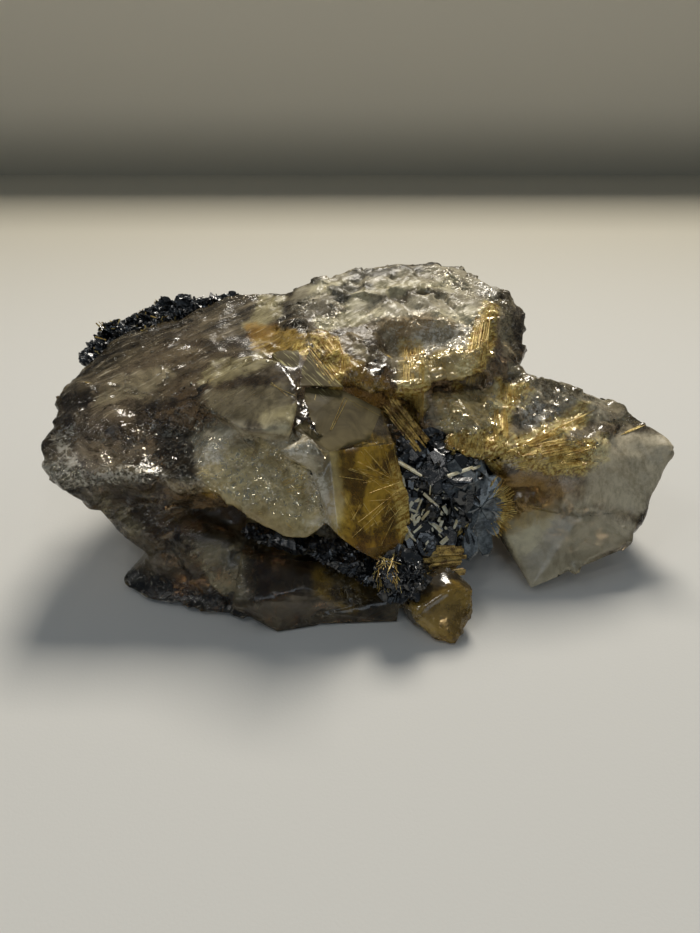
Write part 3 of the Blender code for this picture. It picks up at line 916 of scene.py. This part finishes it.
    # three surfaces: clear glass, glass full of veils, and a matt crystal face
    tint = f.tones((zone["amber"] + honey).clamp(), (236, 228, 212), (240, 200, 110))
    clear = f.surface({"Base Color": tint, "Roughness": roughness * 0.5, "IOR": QUARTZ_BEND,
                       "Transmission Weight": 1.0, "Normal": normal})
    veiled = f.surface({"Base Color": colour, "Roughness": roughness, "IOR": QUARTZ_BEND, "Normal": normal,
                        "Metallic": (zone["gold"] * 0.15 + flash_and_painted_glint * (sparkle * 0.6 + 0.15)).clamp()})
    share = (0.50 + (pattern - 0.5) * 1.0 + zone["milk"] * 0.25 + zone["gold"] * 0.5 + zone["frost_and_painted_glints"] * 0.15
             + zone["soot"] * 0.5 + zone["lilac"] * 0.2 - zone["smoke"] * 0.15 + zone["haze"] * 0.08
             + lift * 0.2 + honey * 0.1 + flash_and_painted_glint * 0.7).clamp()
    olive = f.tones(veils.ramp(0.3, 0.7), (78, 68, 42), (116, 104, 70))
    olive = f.blend(lines.ramp(0.54, 0.66) * calm, olive, paint(206, 196, 140))
    matt = f.surface({"Base Color": f.blend(matt_face, colour, olive), "Roughness": 0.62, "IOR": QUARTZ_BEND,
                      "Specular IOR Level": 0.14, "Normal": normal})
    matt_share = matt_face.maths("MAXIMUM", crown * 0.72) * 0.92
    smoke = f.node("ShaderNodeVolumeAbsorption", {}, {"Color": SMOKE_COLOUR, "Density": SMOKE_DENSITY})
    return f.done(f.mixed(matt_share, f.mixed(share, clear, veiled), matt), smoke["Volume"])


quartz.data.materials.append(make_quartz_finish())
print("quartz finish:", len(quartz.data.materials[0].node_tree.nodes), "nodes")

# %% [markdown]
# ## Copies of one small shape
#
# Plates, blades and needles repeat hundreds of times. Each is modelled once at unit size, along x from 0 to
# 1, and then stamped: every copy gets its own start, end, width and thickness, and all copies join in one
# mesh.

# %% Stamping copies
def pattern_of(piece):
    """The points and faces of a modelled shape, which is then taken away."""
    shape = (points_of(piece.data), [tuple(face.vertices) for face in piece.data.polygons])
    bpy.data.objects.remove(piece)
    return shape


def unit_bar(sides, tip):
    """A thin bar from 0 to 1 along x, one across, whose far end is narrower."""
    bpy.ops.object.select_all(action="DESELECT")
    bpy.ops.mesh.primitive_cylinder_add(vertices=sides, radius=0.5, depth=1.0, location=(0, 0, 0))
    bar = bpy.context.object
    for face in bar.data.polygons:
        face.select = face.normal.z > 0.9
    bpy.ops.object.mode_set(mode="EDIT")
    bpy.ops.mesh.select_mode(type="FACE")
    bpy.ops.transform.resize(value=(tip, tip, 1))
    bpy.ops.object.mode_set(mode="OBJECT")
    turned = points_of(bar.data)[:, [2, 0, 1]] + (0.5, 0, 0)
    move_points(bar.data, turned)
    return pattern_of(bar)


def unit_leaf(sides, root):
    """A thin lobed plate from 0 to 1 along x: narrow at its root, and widest past the middle."""
    bpy.ops.object.select_all(action="DESELECT")
    bpy.ops.mesh.primitive_circle_add(vertices=sides, radius=0.5, fill_type="NGON", location=(0.5, 0, -0.5))
    leaf = bpy.context.object
    bpy.ops.object.mode_set(mode="EDIT")
    bpy.ops.mesh.select_all(action="SELECT")
    bpy.ops.mesh.extrude_region_move(TRANSFORM_OT_translate={"value": (0, 0, 1.0)})
    bpy.ops.transform.resize(value=(0.86, 0.82, 1))
    bpy.ops.mesh.select_all(action="SELECT")
    bpy.ops.mesh.normals_make_consistent(inside=False)
    bpy.ops.object.mode_set(mode="OBJECT")
    shaped = points_of(leaf.data) + (0.5, 0, -0.5)
    shaped[:, 0] -= shaped[:, 0].min()
    shaped[:, 2] -= shaped[:, 2].mean()
    shaped[:, 1] *= root + (1 - root) * np.clip(shaped[:, 0] * 1.5, 0, 1)
    move_points(leaf.data, shaped)
    return pattern_of(leaf)


NEEDLE = unit_bar(4, 0.45)
BLADE = unit_bar(4, 0.75)
LEAF = unit_leaf(9, 0.35)
PLATE = unit_leaf(6, 0.8)
print("needle", len(NEEDLE[1]), "faces, leaf", len(LEAF[1]), "faces")


def stamp(name, shape, copies, finish, slot_name, nodes=(), rough=0.0, seed=1):
    """Joins copies of a shape. A copy is its start, its end, its facing, its width and its thickness."""
    corners, faces = shape
    dice = np.random.default_rng(seed)
    all_points = []
    all_faces = []
    for start, end, facing, wide, thick in copies:
        run = np.array(end) - np.array(start)
        length = max(np.linalg.norm(run), 1e-6)
        way = run / length
        side = np.cross(facing, way)
        side /= max(np.linalg.norm(side), 1e-9)
        up = np.cross(way, side)
        uneven = corners * (1 + rough * dice.uniform(-1, 1, corners.shape))
        placed = np.array(start) + uneven * (length, wide, thick) @ np.stack([way, side, up])
        first = len(all_points) * len(corners)
        all_faces += [tuple(first + index for index in face) for face in faces]
        all_points.append(placed)
    mesh = bpy.data.meshes.new(name)
    mesh.from_pydata(np.concatenate(all_points), [], all_faces)
    mesh.materials.append(finish)
    piece = add_thing(name, mesh)
    in_edit_mode(piece, lambda: bpy.ops.mesh.normals_make_consistent(inside=False))
    settle(piece, slot_name, *nodes)
    print(name, "has", sum(len(face) - 2 for face in all_faces), "triangles")
    return piece


def between(corners, across, down):
    """A spot inside a four-cornered patch of the picture: across runs from 0 to 1, and so does down."""
    first, second, third, fourth = (np.array(corner, float) for corner in corners)
    top = first + (second - first) * across
    bottom = fourth + (third - fourth) * across
    return top + (bottom - top) * down


# %% [markdown]
# ## Hematite
#
# The black mineral in the hollow is hematite: thin iron-oxide plates that fan out like leaves, dark steel
# grey with a blue sheen where the light meets them flat. The ball and the crust in the gap are the same
# mineral in tiny plates. The solids stay as a rough core, and the plates are stamped over them.

# %% Hematite finish
HEMATITE_BEND = 2.4


def make_hematite_finish(name, dark, light, shine, metal):
    f = Finish(name)
    patches = f.cloud(2.5 * MM, 3.0, 0.6)
    lines = f.cloud(0.5 * MM, 2.0, 0.5, 0.0, f.stretched((0.2, 0.4, 0.9), (8.0, 1.0, 1.0)))
    colour = f.blend((patches * 0.6 + lines * 0.4).ramp(0.40, 0.66), dark, light)
    return f.done(f.surface({"Base Color": colour, "Roughness": shine + patches * 0.3, "Metallic": metal,
                             "IOR": HEMATITE_BEND, "Normal": f.bump(lines, 0.08 * MM, 0.6)}))


black_hematite = make_hematite_finish("black_hematite", paint(9, 10, 12), paint(34, 38, 43), 0.10, 0.4)
# a lighter blue-grey copy of the hematite finish: painted sheen, for the fan and the flat plates that catch
# the light
hematite_painted_sheen = make_hematite_finish("hematite_painted_sheen", paint(58, 64, 66), paint(142, 150, 152), 0.16, 0.30)
print("hematite finishes ready")


# %% A rough core from each hematite solid
def rough_core(node_name, piece_name, layers, finish, depth):
    """A fine copy of a solid with leaning chips all over."""
    core = copy_of(node_name, piece_name)
    core.data.materials.append(finish)
    with_modifier(core, "REMESH", mode="SHARP", octree_depth=depth, scale=0.8, use_remove_disconnected=False)
    where = points_of(core.data)
    rise = sum(chips(where, size, lean, step, seed) for size, lean, step, seed in layers)
    lowest, highest = (np.array(corner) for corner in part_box(node_name))
    move_points(core.data, np.clip(where + facings_of(core.data) * rise[:, None], lowest, highest))
    settle(core, "hematite", node_name)
    print(piece_name, "has", len(core.data.polygons) * 2, "triangles")
    return core


ROSETTE_CHIPS = ((4.2 * MM, 0.5, 0.4 * MM, 21), (1.8 * MM, 0.3, 0.1 * MM, 22))
CRUST_CHIPS = ((3.0 * MM, 0.5, 0.9 * MM, 23), (1.2 * MM, 0.6, 0.3 * MM, 24))
rosette_core = rough_core("hematite_rosette", "hematite_core", ROSETTE_CHIPS, black_hematite, 7)
crust_core = rough_core("hematite_back_edge", "hematite_crust", CRUST_CHIPS, black_hematite, 7)

# %% [markdown]
# ## Hematite leaves
#
# The best leaves fan out from one centre at the right of the hollow. Each leaf starts at that centre and
# lies a little over the core, so the fan reads as thin overlapping plates from every side.

# %% Hematite leaves
rosette_tree = tree_of(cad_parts["hematite_rosette"].data)
crust_tree = tree_of(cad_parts["hematite_back_edge"].data)
leaf_dice = np.random.default_rng(31)
FAN_CENTRE = (478, 506)
# each leaf: its angle, its length and its width
LONG_LEAVES = (
    (35, 7.6, 4.4), (60, 8.8, 5.4), (88, 9.0, 5.6), (116, 9.6, 5.6), (143, 8.0, 5.2), (170, 7.0, 5.0),
    (-162, 6.8, 4.8), (-132, 9.0, 4.8), (-103, 12.6, 5.2), (-80, 12.0, 5.0), (-56, 8.0, 4.2),
    (-34, 6.6, 3.8), (-12, 6.0, 3.6), (12, 6.4, 3.8),
)
SHORT_LEAVES = (
    (22, 4.8, 2.6), (72, 5.4, 3.0), (128, 5.0, 3.0), (-174, 4.4, 2.8), (-118, 6.0, 3.0), (-90, 7.4, 3.0),
    (-40, 4.8, 2.4),
)


def on_stone(spot, lift, tree=rosette_tree):
    """A spot of the picture on a solid, lifted off it, and the way the solid faces there."""
    place, facing = place_at(spot, tree)
    return np.array(place + facing * lift), np.array(facing)


def tilted(facing, amount, dice):
    """A facing turned a little at random."""
    turned = np.array(facing) + dice.normal(0, amount, 3)
    return turned / np.linalg.norm(turned)


FAN_TILT = math.radians(35)
FAN_RIGHT = np.array((1.0, 0.0, 0.0))
FAN_UP = np.array((0.0, math.sin(FAN_TILT), math.cos(FAN_TILT)))
FAN_FACING = np.array((0.0, -math.cos(FAN_TILT), math.sin(FAN_TILT)))
FAN_MIDDLE = on_stone(FAN_CENTRE, 1.0 * MM)[0]


def fan_spot(turn, reach, depth):
    """A place on the plane of the fan: an angle from the right, a reach and a depth."""
    across = math.cos(math.radians(turn)) * reach * MM
    up = math.sin(math.radians(turn)) * reach * MM
    return FAN_MIDDLE + FAN_RIGHT * across + FAN_UP * up - FAN_FACING * depth * MM


def fan(petals, depth, dice):
    """Leaves that radiate from the middle of the fan and bend back a little."""
    return [(fan_spot(turn, 0.2, depth), fan_spot(turn, reach, depth + dice.uniform(0.4, 1.2)),
             tilted(FAN_FACING, 0.32, dice), wide * MM, 0.3 * MM)
            for turn, reach, wide in petals]


def scattered(patch, count, length, wide, thick, lift, tilt, dice, tree=rosette_tree):
    """Small plates strewn over a patch of the picture, standing at all angles."""
    made = []
    for _ in range(count):
        place, facing = on_stone(between(patch, dice.random(), dice.random()), lift, tree)
        way = np.cross(facing, dice.normal(0, 1, 3))
        way = way / np.linalg.norm(way) + facing * dice.uniform(0, tilt)
        reach = length * dice.uniform(0.6, 1.3)
        start = place - way * reach * 0.4
        facing_then = tilted(facing, tilt, dice)
        width = wide * dice.uniform(0.7, 1.2)
        made.append((start, start + way * reach, facing_then, width, thick))
    return made


HOLLOW = ((402, 448), (492, 462), (492, 560), (412, 560))
SHEEN_PATCH = ((446, 471), (480, 470), (476, 488), (450, 492))
leaves = fan(LONG_LEAVES, 0.6, leaf_dice) + fan(SHORT_LEAVES, 0.0, leaf_dice)
sheen_leaves = scattered(SHEEN_PATCH, 18, 4.6 * MM, 3.8 * MM, 0.4 * MM, 0.3 * MM, 0.14, leaf_dice)
stamp("hematite_fan", LEAF, leaves, hematite_painted_sheen, "hematite", rough=0.10, seed=2)
stamp("hematite_sheen_plates", PLATE, sheen_leaves, hematite_painted_sheen, "hematite", rough=0.12, seed=3)
hollow_plates = scattered(HOLLOW, 46, 6.2 * MM, 4.6 * MM, 0.3 * MM, 0.25 * MM, 0.26, leaf_dice)
stamp("hematite_small_plates", PLATE, hollow_plates, black_hematite, "hematite", rough=0.15, seed=4)

# %% Tiny plates on the ball, the gap and the back crust
def druse(tree, corner, far_corner, count, size, dice):
    """Tiny plates all over the part of a solid that lies in a box, at places spread evenly by area."""
    made = []
    while len(made) < count:
        guess = Vector(dice.uniform(corner, far_corner))
        place, facing, _, _ = tree.find_nearest(guess)
        outward = np.array(facing)
        way = np.cross(outward, dice.normal(0, 1, 3))
        way = way / np.linalg.norm(way) + outward * dice.uniform(0.1, 1.3)
        way /= np.linalg.norm(way)
        reach = size * dice.uniform(0.5, 1.3)
        start = np.array(place) - way * reach * 0.3
        made.append((start, start + way * reach, tilted(outward, 0.6, dice), reach * 0.7, reach * 0.16))
    return made


rosette_low, rosette_high = (np.array(corner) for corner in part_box("hematite_rosette"))
crust_low, crust_high = (np.array(corner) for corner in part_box("hematite_back_edge"))
BALL_MIDDLE = np.array((7.0, -36.8, 11.0)) * MM
BALL_RADIUS = 5.8 * MM
GAP_FAR = (4 * MM, rosette_high[1], 18 * MM)
druse_dice = np.random.default_rng(41)
ball_low, ball_high = BALL_MIDDLE - BALL_RADIUS, BALL_MIDDLE + BALL_RADIUS
ball_druse = druse(rosette_tree, ball_low, ball_high, 650, 1.3 * MM, druse_dice)
gap_druse = druse(rosette_tree, rosette_low, GAP_FAR, 700, 1.2 * MM, druse_dice)
crust_druse = druse(crust_tree, crust_low, crust_high, 1300, 1.3 * MM, druse_dice)
for seed, name, plates in ((5, "ball", ball_druse), (6, "gap", gap_druse), (7, "back", crust_druse)):
    stamp("hematite_" + name + "_druse", PLATE, plates, black_hematite, "hematite", rough=0.2, seed=seed)

# %% [markdown]
# ## Rutile
#
# Rutile is the gold in this stone: titanium oxide in straight needles and flat grooved blades. Some lie in
# bundles that fill the place of a solid, some lie in the broken surface like straw, and some hang inside
# the clear quartz.

# %% Rutile finishes
def make_rutile_finish(name, dark, light, metal, dull):
    f = Finish(name)
    patches = f.cloud(1.8 * MM, 3.0)
    fine = f.cloud(0.3 * MM, 2.0)
    colour = f.blend((patches * 0.6 + fine * 0.4).ramp(0.38, 0.62), dark, light)
    return f.done(f.surface({"Base Color": colour, "Roughness": dull + fine * 0.2, "Metallic": metal,
                             "Normal": f.bump(fine, 0.05 * MM, 0.4)}))


gold_rutile = make_rutile_finish("gold_rutile", paint(176, 132, 44), paint(255, 230, 142), 0.18, 0.24)
brown_rutile = make_rutile_finish("brown_rutile", paint(96, 66, 24), paint(222, 188, 104), 0.20, 0.24)
pale_rutile = make_rutile_finish("pale_rutile", paint(222, 206, 160), paint(255, 250, 224), 0.1, 0.30)
print("rutile finishes ready")


# %% Bundles that take the place of the rutile solids
def bundle(node_name, piece_name, finish, count, dice, wide, thick):
    """Long blades side by side, which fill the place of a solid and run along it."""
    cloud_points = points_of(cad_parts[node_name].data)
    middle = cloud_points.mean(axis=0)
    _, _, ways = np.linalg.svd(cloud_points - middle, full_matrices=False)
    spans = (cloud_points - middle) @ ways.T
    low_end, high_end = spans.min(axis=0), spans.max(axis=0)
    made = []
    for _ in range(count):
        aside = dice.uniform(low_end[1] * 0.82, high_end[1] * 0.82)
        over = dice.uniform(low_end[2] * 0.7, high_end[2] * 0.7)
        first = low_end[0] + (high_end[0] - low_end[0]) * dice.uniform(0.0, 0.45)
        last = high_end[0] - (high_end[0] - low_end[0]) * dice.uniform(0.0, 0.35)
        start = middle + first * ways[0] + aside * ways[1] + over * ways[2]
        slant = aside * 1.04 + dice.normal(0, 0.35) * MM
        end = middle + last * ways[0] + slant * ways[1] + over * ways[2]
        made.append((start, end, tilted(ways[2], 0.2, dice),
                     wide * dice.uniform(0.5, 1.3), thick * dice.uniform(0.6, 1.2)))
    return stamp(piece_name, BLADE, made, finish, "rutile", (node_name,), 0.06, 8)


bundle_dice = np.random.default_rng(51)
bundle("rutile_bundle", "rutile_top_blades", brown_rutile, 30, bundle_dice, 0.7 * MM, 0.4 * MM)
bundle("rutile_lower_blades", "rutile_front_blades", brown_rutile, 34, bundle_dice, 1.1 * MM, 0.5 * MM)
bundle("rutile_needle", "rutile_long_needle", pale_rutile, 3, bundle_dice, 0.9 * MM, 0.8 * MM)

# %% [markdown]
# ## Straw gold in the surface
#
# The gold sprays are thousands of parallel fibres. A patch of the picture says where they lie: needles run
# from its first side to its opposite side, each starts and ends on the stone, and each is broken off at its
# own length.

# %% Sprays on the surface
SPRAYS = (
    # corners of the patch (needles run from the first side to the third), count, width, share of length
    (((494, 462), (507, 452), (606, 404), (600, 416)), 170, 0.28, 0.45),
    (((500, 452), (512, 470), (600, 452), (584, 434)), 200, 0.26, 0.35),
    (((548, 458), (552, 470), (584, 466), (586, 452)), 90, 0.30, 0.5),
    (((620, 434), (622, 436), (647, 425), (645, 423)), 10, 0.30, 0.8),
    (((494, 408), (507, 408), (509, 450), (493, 452)), 130, 0.30, 0.5),
    (((448, 432), (492, 434), (480, 466), (449, 464)), 230, 0.30, 0.55),
    (((498, 378), (524, 384), (520, 404), (499, 404)), 90, 0.24, 0.6),
    (((478, 306), (492, 308), (484, 384), (458, 384)), 170, 0.26, 0.35),
    (((402, 345), (426, 348), (424, 384), (404, 384)), 130, 0.26, 0.5),
    (((408, 384), (424, 384), (424, 418), (410, 414)), 90, 0.26, 0.6),
    (((300, 343), (312, 338), (340, 374), (330, 384)), 70, 0.24, 0.8),
    (((316, 336), (338, 336), (345, 360), (334, 362)), 50, 0.24, 0.7),
    (((342, 356), (350, 356), (364, 388), (340, 386)), 90, 0.26, 0.6),
)


LONGEST_STRAW = 14 * MM


def spray(patch, count, wide, share, lift, dice, tree):
    """Needles laid on the stone along a patch of the picture."""
    made = []
    for _ in range(count):
        lane = dice.random()
        first = dice.uniform(0, 1 - share)
        last = min(first + share * dice.uniform(0.5, 1.2), 1.0)
        lane_end = min(max(lane + dice.normal(0, 0.06), 0), 1)
        start, facing = on_stone(between(patch, lane, first), lift, tree)
        end, _ = on_stone(between(patch, lane_end, last), lift, tree)
        if np.linalg.norm(end - start) > LONGEST_STRAW:
            continue
        width = wide * MM * dice.uniform(0.5, 1.3)
        made.append((start, end, tilted(facing, 0.3, dice), width, width * 0.6))
    return made


spray_dice = np.random.default_rng(61)
straw = []
for patch, count, wide, share in SPRAYS:
    straw += spray(patch, count, wide, share, 0.05 * MM, spray_dice, skin_tree)
FAR_SPRAYS = (
    # first end and last end as x and z in millimetres, how wide the spray is, and how many needles
    ((22, 12), (46, 36), 5, 170), ((-34, 8), (-10, 30), 4, 140), ((-4, 40), (14, 14), 5, 160),
    ((50, 8), (64, 24), 3, 80), ((-56, 20), (-36, 30), 3, 90),
)
BEHIND = 0.1
FORWARDS = Vector((0, -1, 0))
for first_end, last_end, breadth, count in FAR_SPRAYS:
    run = np.array(last_end, float) - np.array(first_end, float)
    aside = np.array((-run[1], run[0])) / np.linalg.norm(run)
    for _ in range(count):
        lane = spray_dice.normal(0, breadth / 2)
        share = spray_dice.uniform(0, 0.6)
        ends_found = []
        for part in (share, share + spray_dice.uniform(0.15, 0.4)):
            x, z = (np.array(first_end) + run * part + aside * lane) * MM
            place, facing, _, _ = skin_tree.ray_cast(Vector((x, BEHIND, z)), FORWARDS)
            if place is not None:
                ends_found.append((np.array(place), facing))
        if len(ends_found) == 2 and np.linalg.norm(ends_found[1][0] - ends_found[0][0]) < LONGEST_STRAW:
            straw.append((ends_found[0][0], ends_found[1][0], ends_found[0][1], 0.28 * MM, 0.2 * MM))
stamp("rutile_straw", NEEDLE, straw, gold_rutile, "rutile", seed=9)

# %% Pale splinters over the hematite, and gold between its leaves
SPLINTERS = (
    ((412, 502), (406, 512)), ((419, 512), (424, 500)), ((426, 494), (434, 506)), ((442, 506), (448, 514)),
    ((411, 520), (420, 514)), ((424, 520), (431, 512)), ((414, 533), (422, 526)), ((437, 522), (441, 512)),
    ((446, 478), (470, 470)), ((471, 471), (478, 466)), ((402, 476), (404, 486)), ((405, 540), (410, 535)),
    ((440, 545), (447, 538)), ((425, 549), (434, 556)), ((430, 530), (437, 527)), ((444, 528), (450, 534)),
)
SPLINTER_PATCH = ((408, 480), (458, 500), (456, 556), (410, 556))
chips_of_gold = []
for first_spot, second_spot in SPLINTERS:
    start, facing = on_stone(first_spot, 0.9 * MM)
    end, _ = on_stone(second_spot, 0.9 * MM)
    chips_of_gold.append((start, end, facing, spray_dice.uniform(0.7, 1.4) * MM, 0.22 * MM))
for _ in range(22):
    spot = between(SPLINTER_PATCH, spray_dice.random(), spray_dice.random())
    place, facing = on_stone(spot, 0.7 * MM)
    lie = spray_dice.choice([spray_dice.normal(60, 22), spray_dice.normal(140, 18)])
    way = FAN_RIGHT * math.cos(math.radians(lie)) + FAN_UP * math.sin(math.radians(lie))
    long = spray_dice.uniform(0.9, 1.7) ** 2 * MM
    chips_of_gold.append((place, place + way * long, facing, long * spray_dice.uniform(0.2, 0.5), 0.15 * MM))
stamp("rutile_splinters", BLADE, chips_of_gold, pale_rutile, "rutile", rough=0.18, seed=10)

# most of the fringe stands to the right of the fan, and the rest below it
FRINGE_TURNS = ((-62, 66), (-62, 66), (-145, -95))
fringe = []
for _ in range(420):
    turn = spray_dice.choice([spray_dice.uniform(*turns) for turns in FRINGE_TURNS])
    inner = spray_dice.uniform(3.0, 6.0)
    outer = inner + spray_dice.uniform(1.5, 3.4)
    deep = spray_dice.uniform(0.7, 1.6)
    fringe.append((fan_spot(turn, inner, deep), fan_spot(turn + spray_dice.normal(0, 2), outer, deep + 0.4),
                   FAN_FACING, 0.30 * MM, 0.22 * MM))
stamp("rutile_fringe", NEEDLE, fringe, gold_rutile, "rutile", seed=11)

# %% Hairs on the ball and flecks in the back crust
hairs_on_ball = []
for _ in range(60):
    start, facing = on_stone((spray_dice.uniform(372, 398), spray_dice.uniform(548, 566)), 0.3 * MM)
    end, _ = on_stone((spray_dice.uniform(376, 402), spray_dice.uniform(566, 590)), 1.2 * MM)
    if np.linalg.norm(end - start) < 9 * MM:
        hairs_on_ball.append((start, end, facing, 0.22 * MM, 0.18 * MM))
stamp("rutile_ball_hairs", NEEDLE, hairs_on_ball, gold_rutile, "rutile", seed=12)
crust_places = druse(crust_tree, crust_low, crust_high, 110, 2.2 * MM, spray_dice)
flecks_behind = [(start, end, facing, 0.5 * MM, 0.25 * MM) for start, end, facing, _, _ in crust_places]
stamp("rutile_back_flecks", BLADE, flecks_behind, gold_rutile, "rutile", seed=13)

# %% [markdown]
# ## Needles inside the clear quartz
#
# In the honey crystal and in the glassy lump beside it, needles hang inside the clear stone. They are
# placed by the spots where they show and pushed in behind the surface, so that they are seen through it.

# %% Inner needles
INNER = (
    ((357, 461), (390, 478)), ((366, 448), (394, 480)), ((365, 478), (406, 496)), ((342, 491), (354, 517)),
    ((365, 504), (379, 526)), ((387, 518), (374, 538)), ((350, 470), (392, 482)), ((372, 455), (396, 484)),
    ((384, 452), (400, 492)), ((352, 520), (360, 506)), ((345, 536), (352, 512)), ((380, 545), (398, 510)),
    ((391, 540), (402, 505)), ((340, 480), (388, 486)), ((360, 452), (372, 470)), ((396, 470), (410, 512)),
    ((260, 499), (304, 474)), ((262, 503), (300, 482)), ((261, 513), (316, 512)), ((285, 524), (298, 533)),
    ((255, 497), (290, 478)), ((268, 495), (310, 486)), ((280, 540), (290, 530)), ((300, 540), (312, 530)),
    ((270, 384), (290, 396)), ((240, 400), (262, 390)), ((330, 430), (345, 400)), ((352, 405), (388, 424)),
    ((360, 402), (390, 420)), ((340, 398), (380, 418)), ((306, 428), (318, 396)),
)
KNOT = (402, 490)
KNOT_REACH = ((346, 452), (394, 446), (404, 545), (350, 545))
GLOW = (((345, 455), (398, 455), (408, 535), (350, 540)), ((396, 460), (406, 480), (410, 535), (398, 545)))
inner = []
inner_dice = np.random.default_rng(71)


def hang(first_spot, second_spot, shallow, deep, thick, tree):
    """Hangs a needle in the quartz behind two spots of the picture, at a random depth in millimetres."""
    start, start_facing = on_stone(first_spot, 0, tree)
    end, end_facing = on_stone(second_spot, 0, tree)
    depth = inner_dice.uniform(shallow, deep) * MM
    start, end = start - start_facing * depth, end - end_facing * depth
    inner.append((start, end, start_facing, thick * MM, thick * MM))


for first_spot, second_spot in INNER:
    for _ in range(2):
        shift = inner_dice.normal(0, 1.6, 4)
        hang(first_spot + shift[:2], second_spot + shift[2:], -0.16, 0.2, 0.18, skin_tree)
for _ in range(60):
    knot = (KNOT[0] + inner_dice.normal(0, 3), KNOT[1] + inner_dice.normal(0, 14))
    hang(knot, between(KNOT_REACH, *inner_dice.random(2)), -0.12, 0.15, 0.14, skin_tree)
for patch in GLOW:
    for _ in range(90):
        lane, first = inner_dice.random(2)
        first_spot = between(patch, lane, first * 0.7)
        second_spot = between(patch, min(lane + 0.25, 1), first * 0.7 + 0.3)
        hang(first_spot, second_spot, 0.6, 5.0, 0.16, quartz_tree)
stamp("rutile_inside", NEEDLE, inner, gold_rutile, "rutile", seed=14)

# %% [markdown]
# ## Floor and light
#
# The floor is a pale sheet with a low wall behind it. A large warm lamp hangs high behind the stone, so the
# soft shadow falls towards the camera. Two weak lamps in front and at the left keep the near side readable.
# Three tiny ones give the glassy breaks their sharp glints.

# %% Floor
FLOOR_HALF = 2.2
FLOOR_FRONT = -1.0
WALL_FOOT = 0.386
WALL_TOP = 0.14

bpy.ops.object.select_all(action="DESELECT")
bpy.ops.mesh.primitive_plane_add(size=1.0, location=(0, 0, 0))
floor = bpy.context.object
floor.name = "floor"
move_points(floor.data, np.array([(-FLOOR_HALF, FLOOR_FRONT, 0), (FLOOR_HALF, FLOOR_FRONT, 0),
                                  (-FLOOR_HALF, WALL_FOOT, 0), (FLOOR_HALF, WALL_FOOT, 0)]))
bpy.ops.object.mode_set(mode="EDIT")
bpy.ops.mesh.select_mode(type="EDGE")
bpy.ops.mesh.select_all(action="DESELECT")
bpy.ops.object.mode_set(mode="OBJECT")
for edge in floor.data.edges:
    edge.select = all(floor.data.vertices[index].co.y > WALL_FOOT - 0.001 for index in edge.vertices)
bpy.ops.object.mode_set(mode="EDIT")
bpy.ops.mesh.extrude_region_move(TRANSFORM_OT_translate={"value": (0, 0, WALL_TOP)})
bpy.ops.object.mode_set(mode="OBJECT")


def make_floor_finish():
    f = Finish("pale_sheet")
    place = f.node("ShaderNodeSeparateXYZ", {}, {"Vector": f.place})
    # darker towards the back: painted shade, where the light of the lamps falls off
    colour = f.blend(place["Y"].ramp(0.02, 0.34), paint(228, 227, 222), paint(186, 180, 162))
    colour = f.blend(place["Z"].ramp(0.0, 0.05), colour, paint(238, 230, 212))
    weave = f.cloud(0.6 * MM, 2.0)
    normal = f.bump(weave, 0.05 * MM, 0.4)
    return f.done(f.surface({"Base Color": colour, "Roughness": 0.8, "Normal": normal}))


floor.data.materials.append(make_floor_finish())
print("floor faces:", len(floor.data.polygons))

# %% Lamps
def add_lamp(name, place, aimed_at, side, watts, colour):
    """A square lamp that looks at a height above the middle of the foot."""
    data = bpy.data.lights.new(name, "AREA")
    data.shape = "RECTANGLE"
    data.size = side
    data.size_y = side
    data.energy = watts
    data.color = colour
    lamp = add_thing(name, data)
    lamp.location = place
    lamp.rotation_euler = (Vector((0, 0, aimed_at)) - Vector(place)).to_track_quat("-Z", "Y").to_euler()


WARM_WHITE = (1.0, 0.97, 0.92)
LAMPS = (
    # name, place, the height it is aimed at, its side, its watts and its colour
    ("high_lamp", (0.09, 0.87, 0.92), 0.0, 0.40, 13.4, (1.0, 0.94, 0.84)),
    ("front_lamp", (0.16, -0.60, 0.55), 0.02, 0.30, 0.34, (0.78, 0.89, 1.0)),
    ("side_lamp", (-0.385, -0.204, 0.67), 0.02, 0.12, 0.22, (1.0, 0.98, 0.95)),
    ("glint_lamp_1", (-0.06, -0.30, 0.62), 0.02, 0.028, 0.08, WARM_WHITE),
    ("glint_lamp_2", (0.20, -0.22, 0.66), 0.02, 0.028, 0.08, WARM_WHITE),
    ("glint_lamp_3", (-0.34, 0.02, 0.60), 0.02, 0.028, 0.08, WARM_WHITE),
)
for settings in LAMPS:
    add_lamp(*settings)
world = bpy.data.worlds.new("room")
world.use_nodes = True
sky = world.node_tree.nodes["Background"]
sky.inputs["Color"].default_value = (0.72, 0.86, 1.0, 1.0)
sky.inputs["Strength"].default_value = 0.10
bpy.context.scene.world = world
bpy.context.scene.view_settings.view_transform = "Standard"
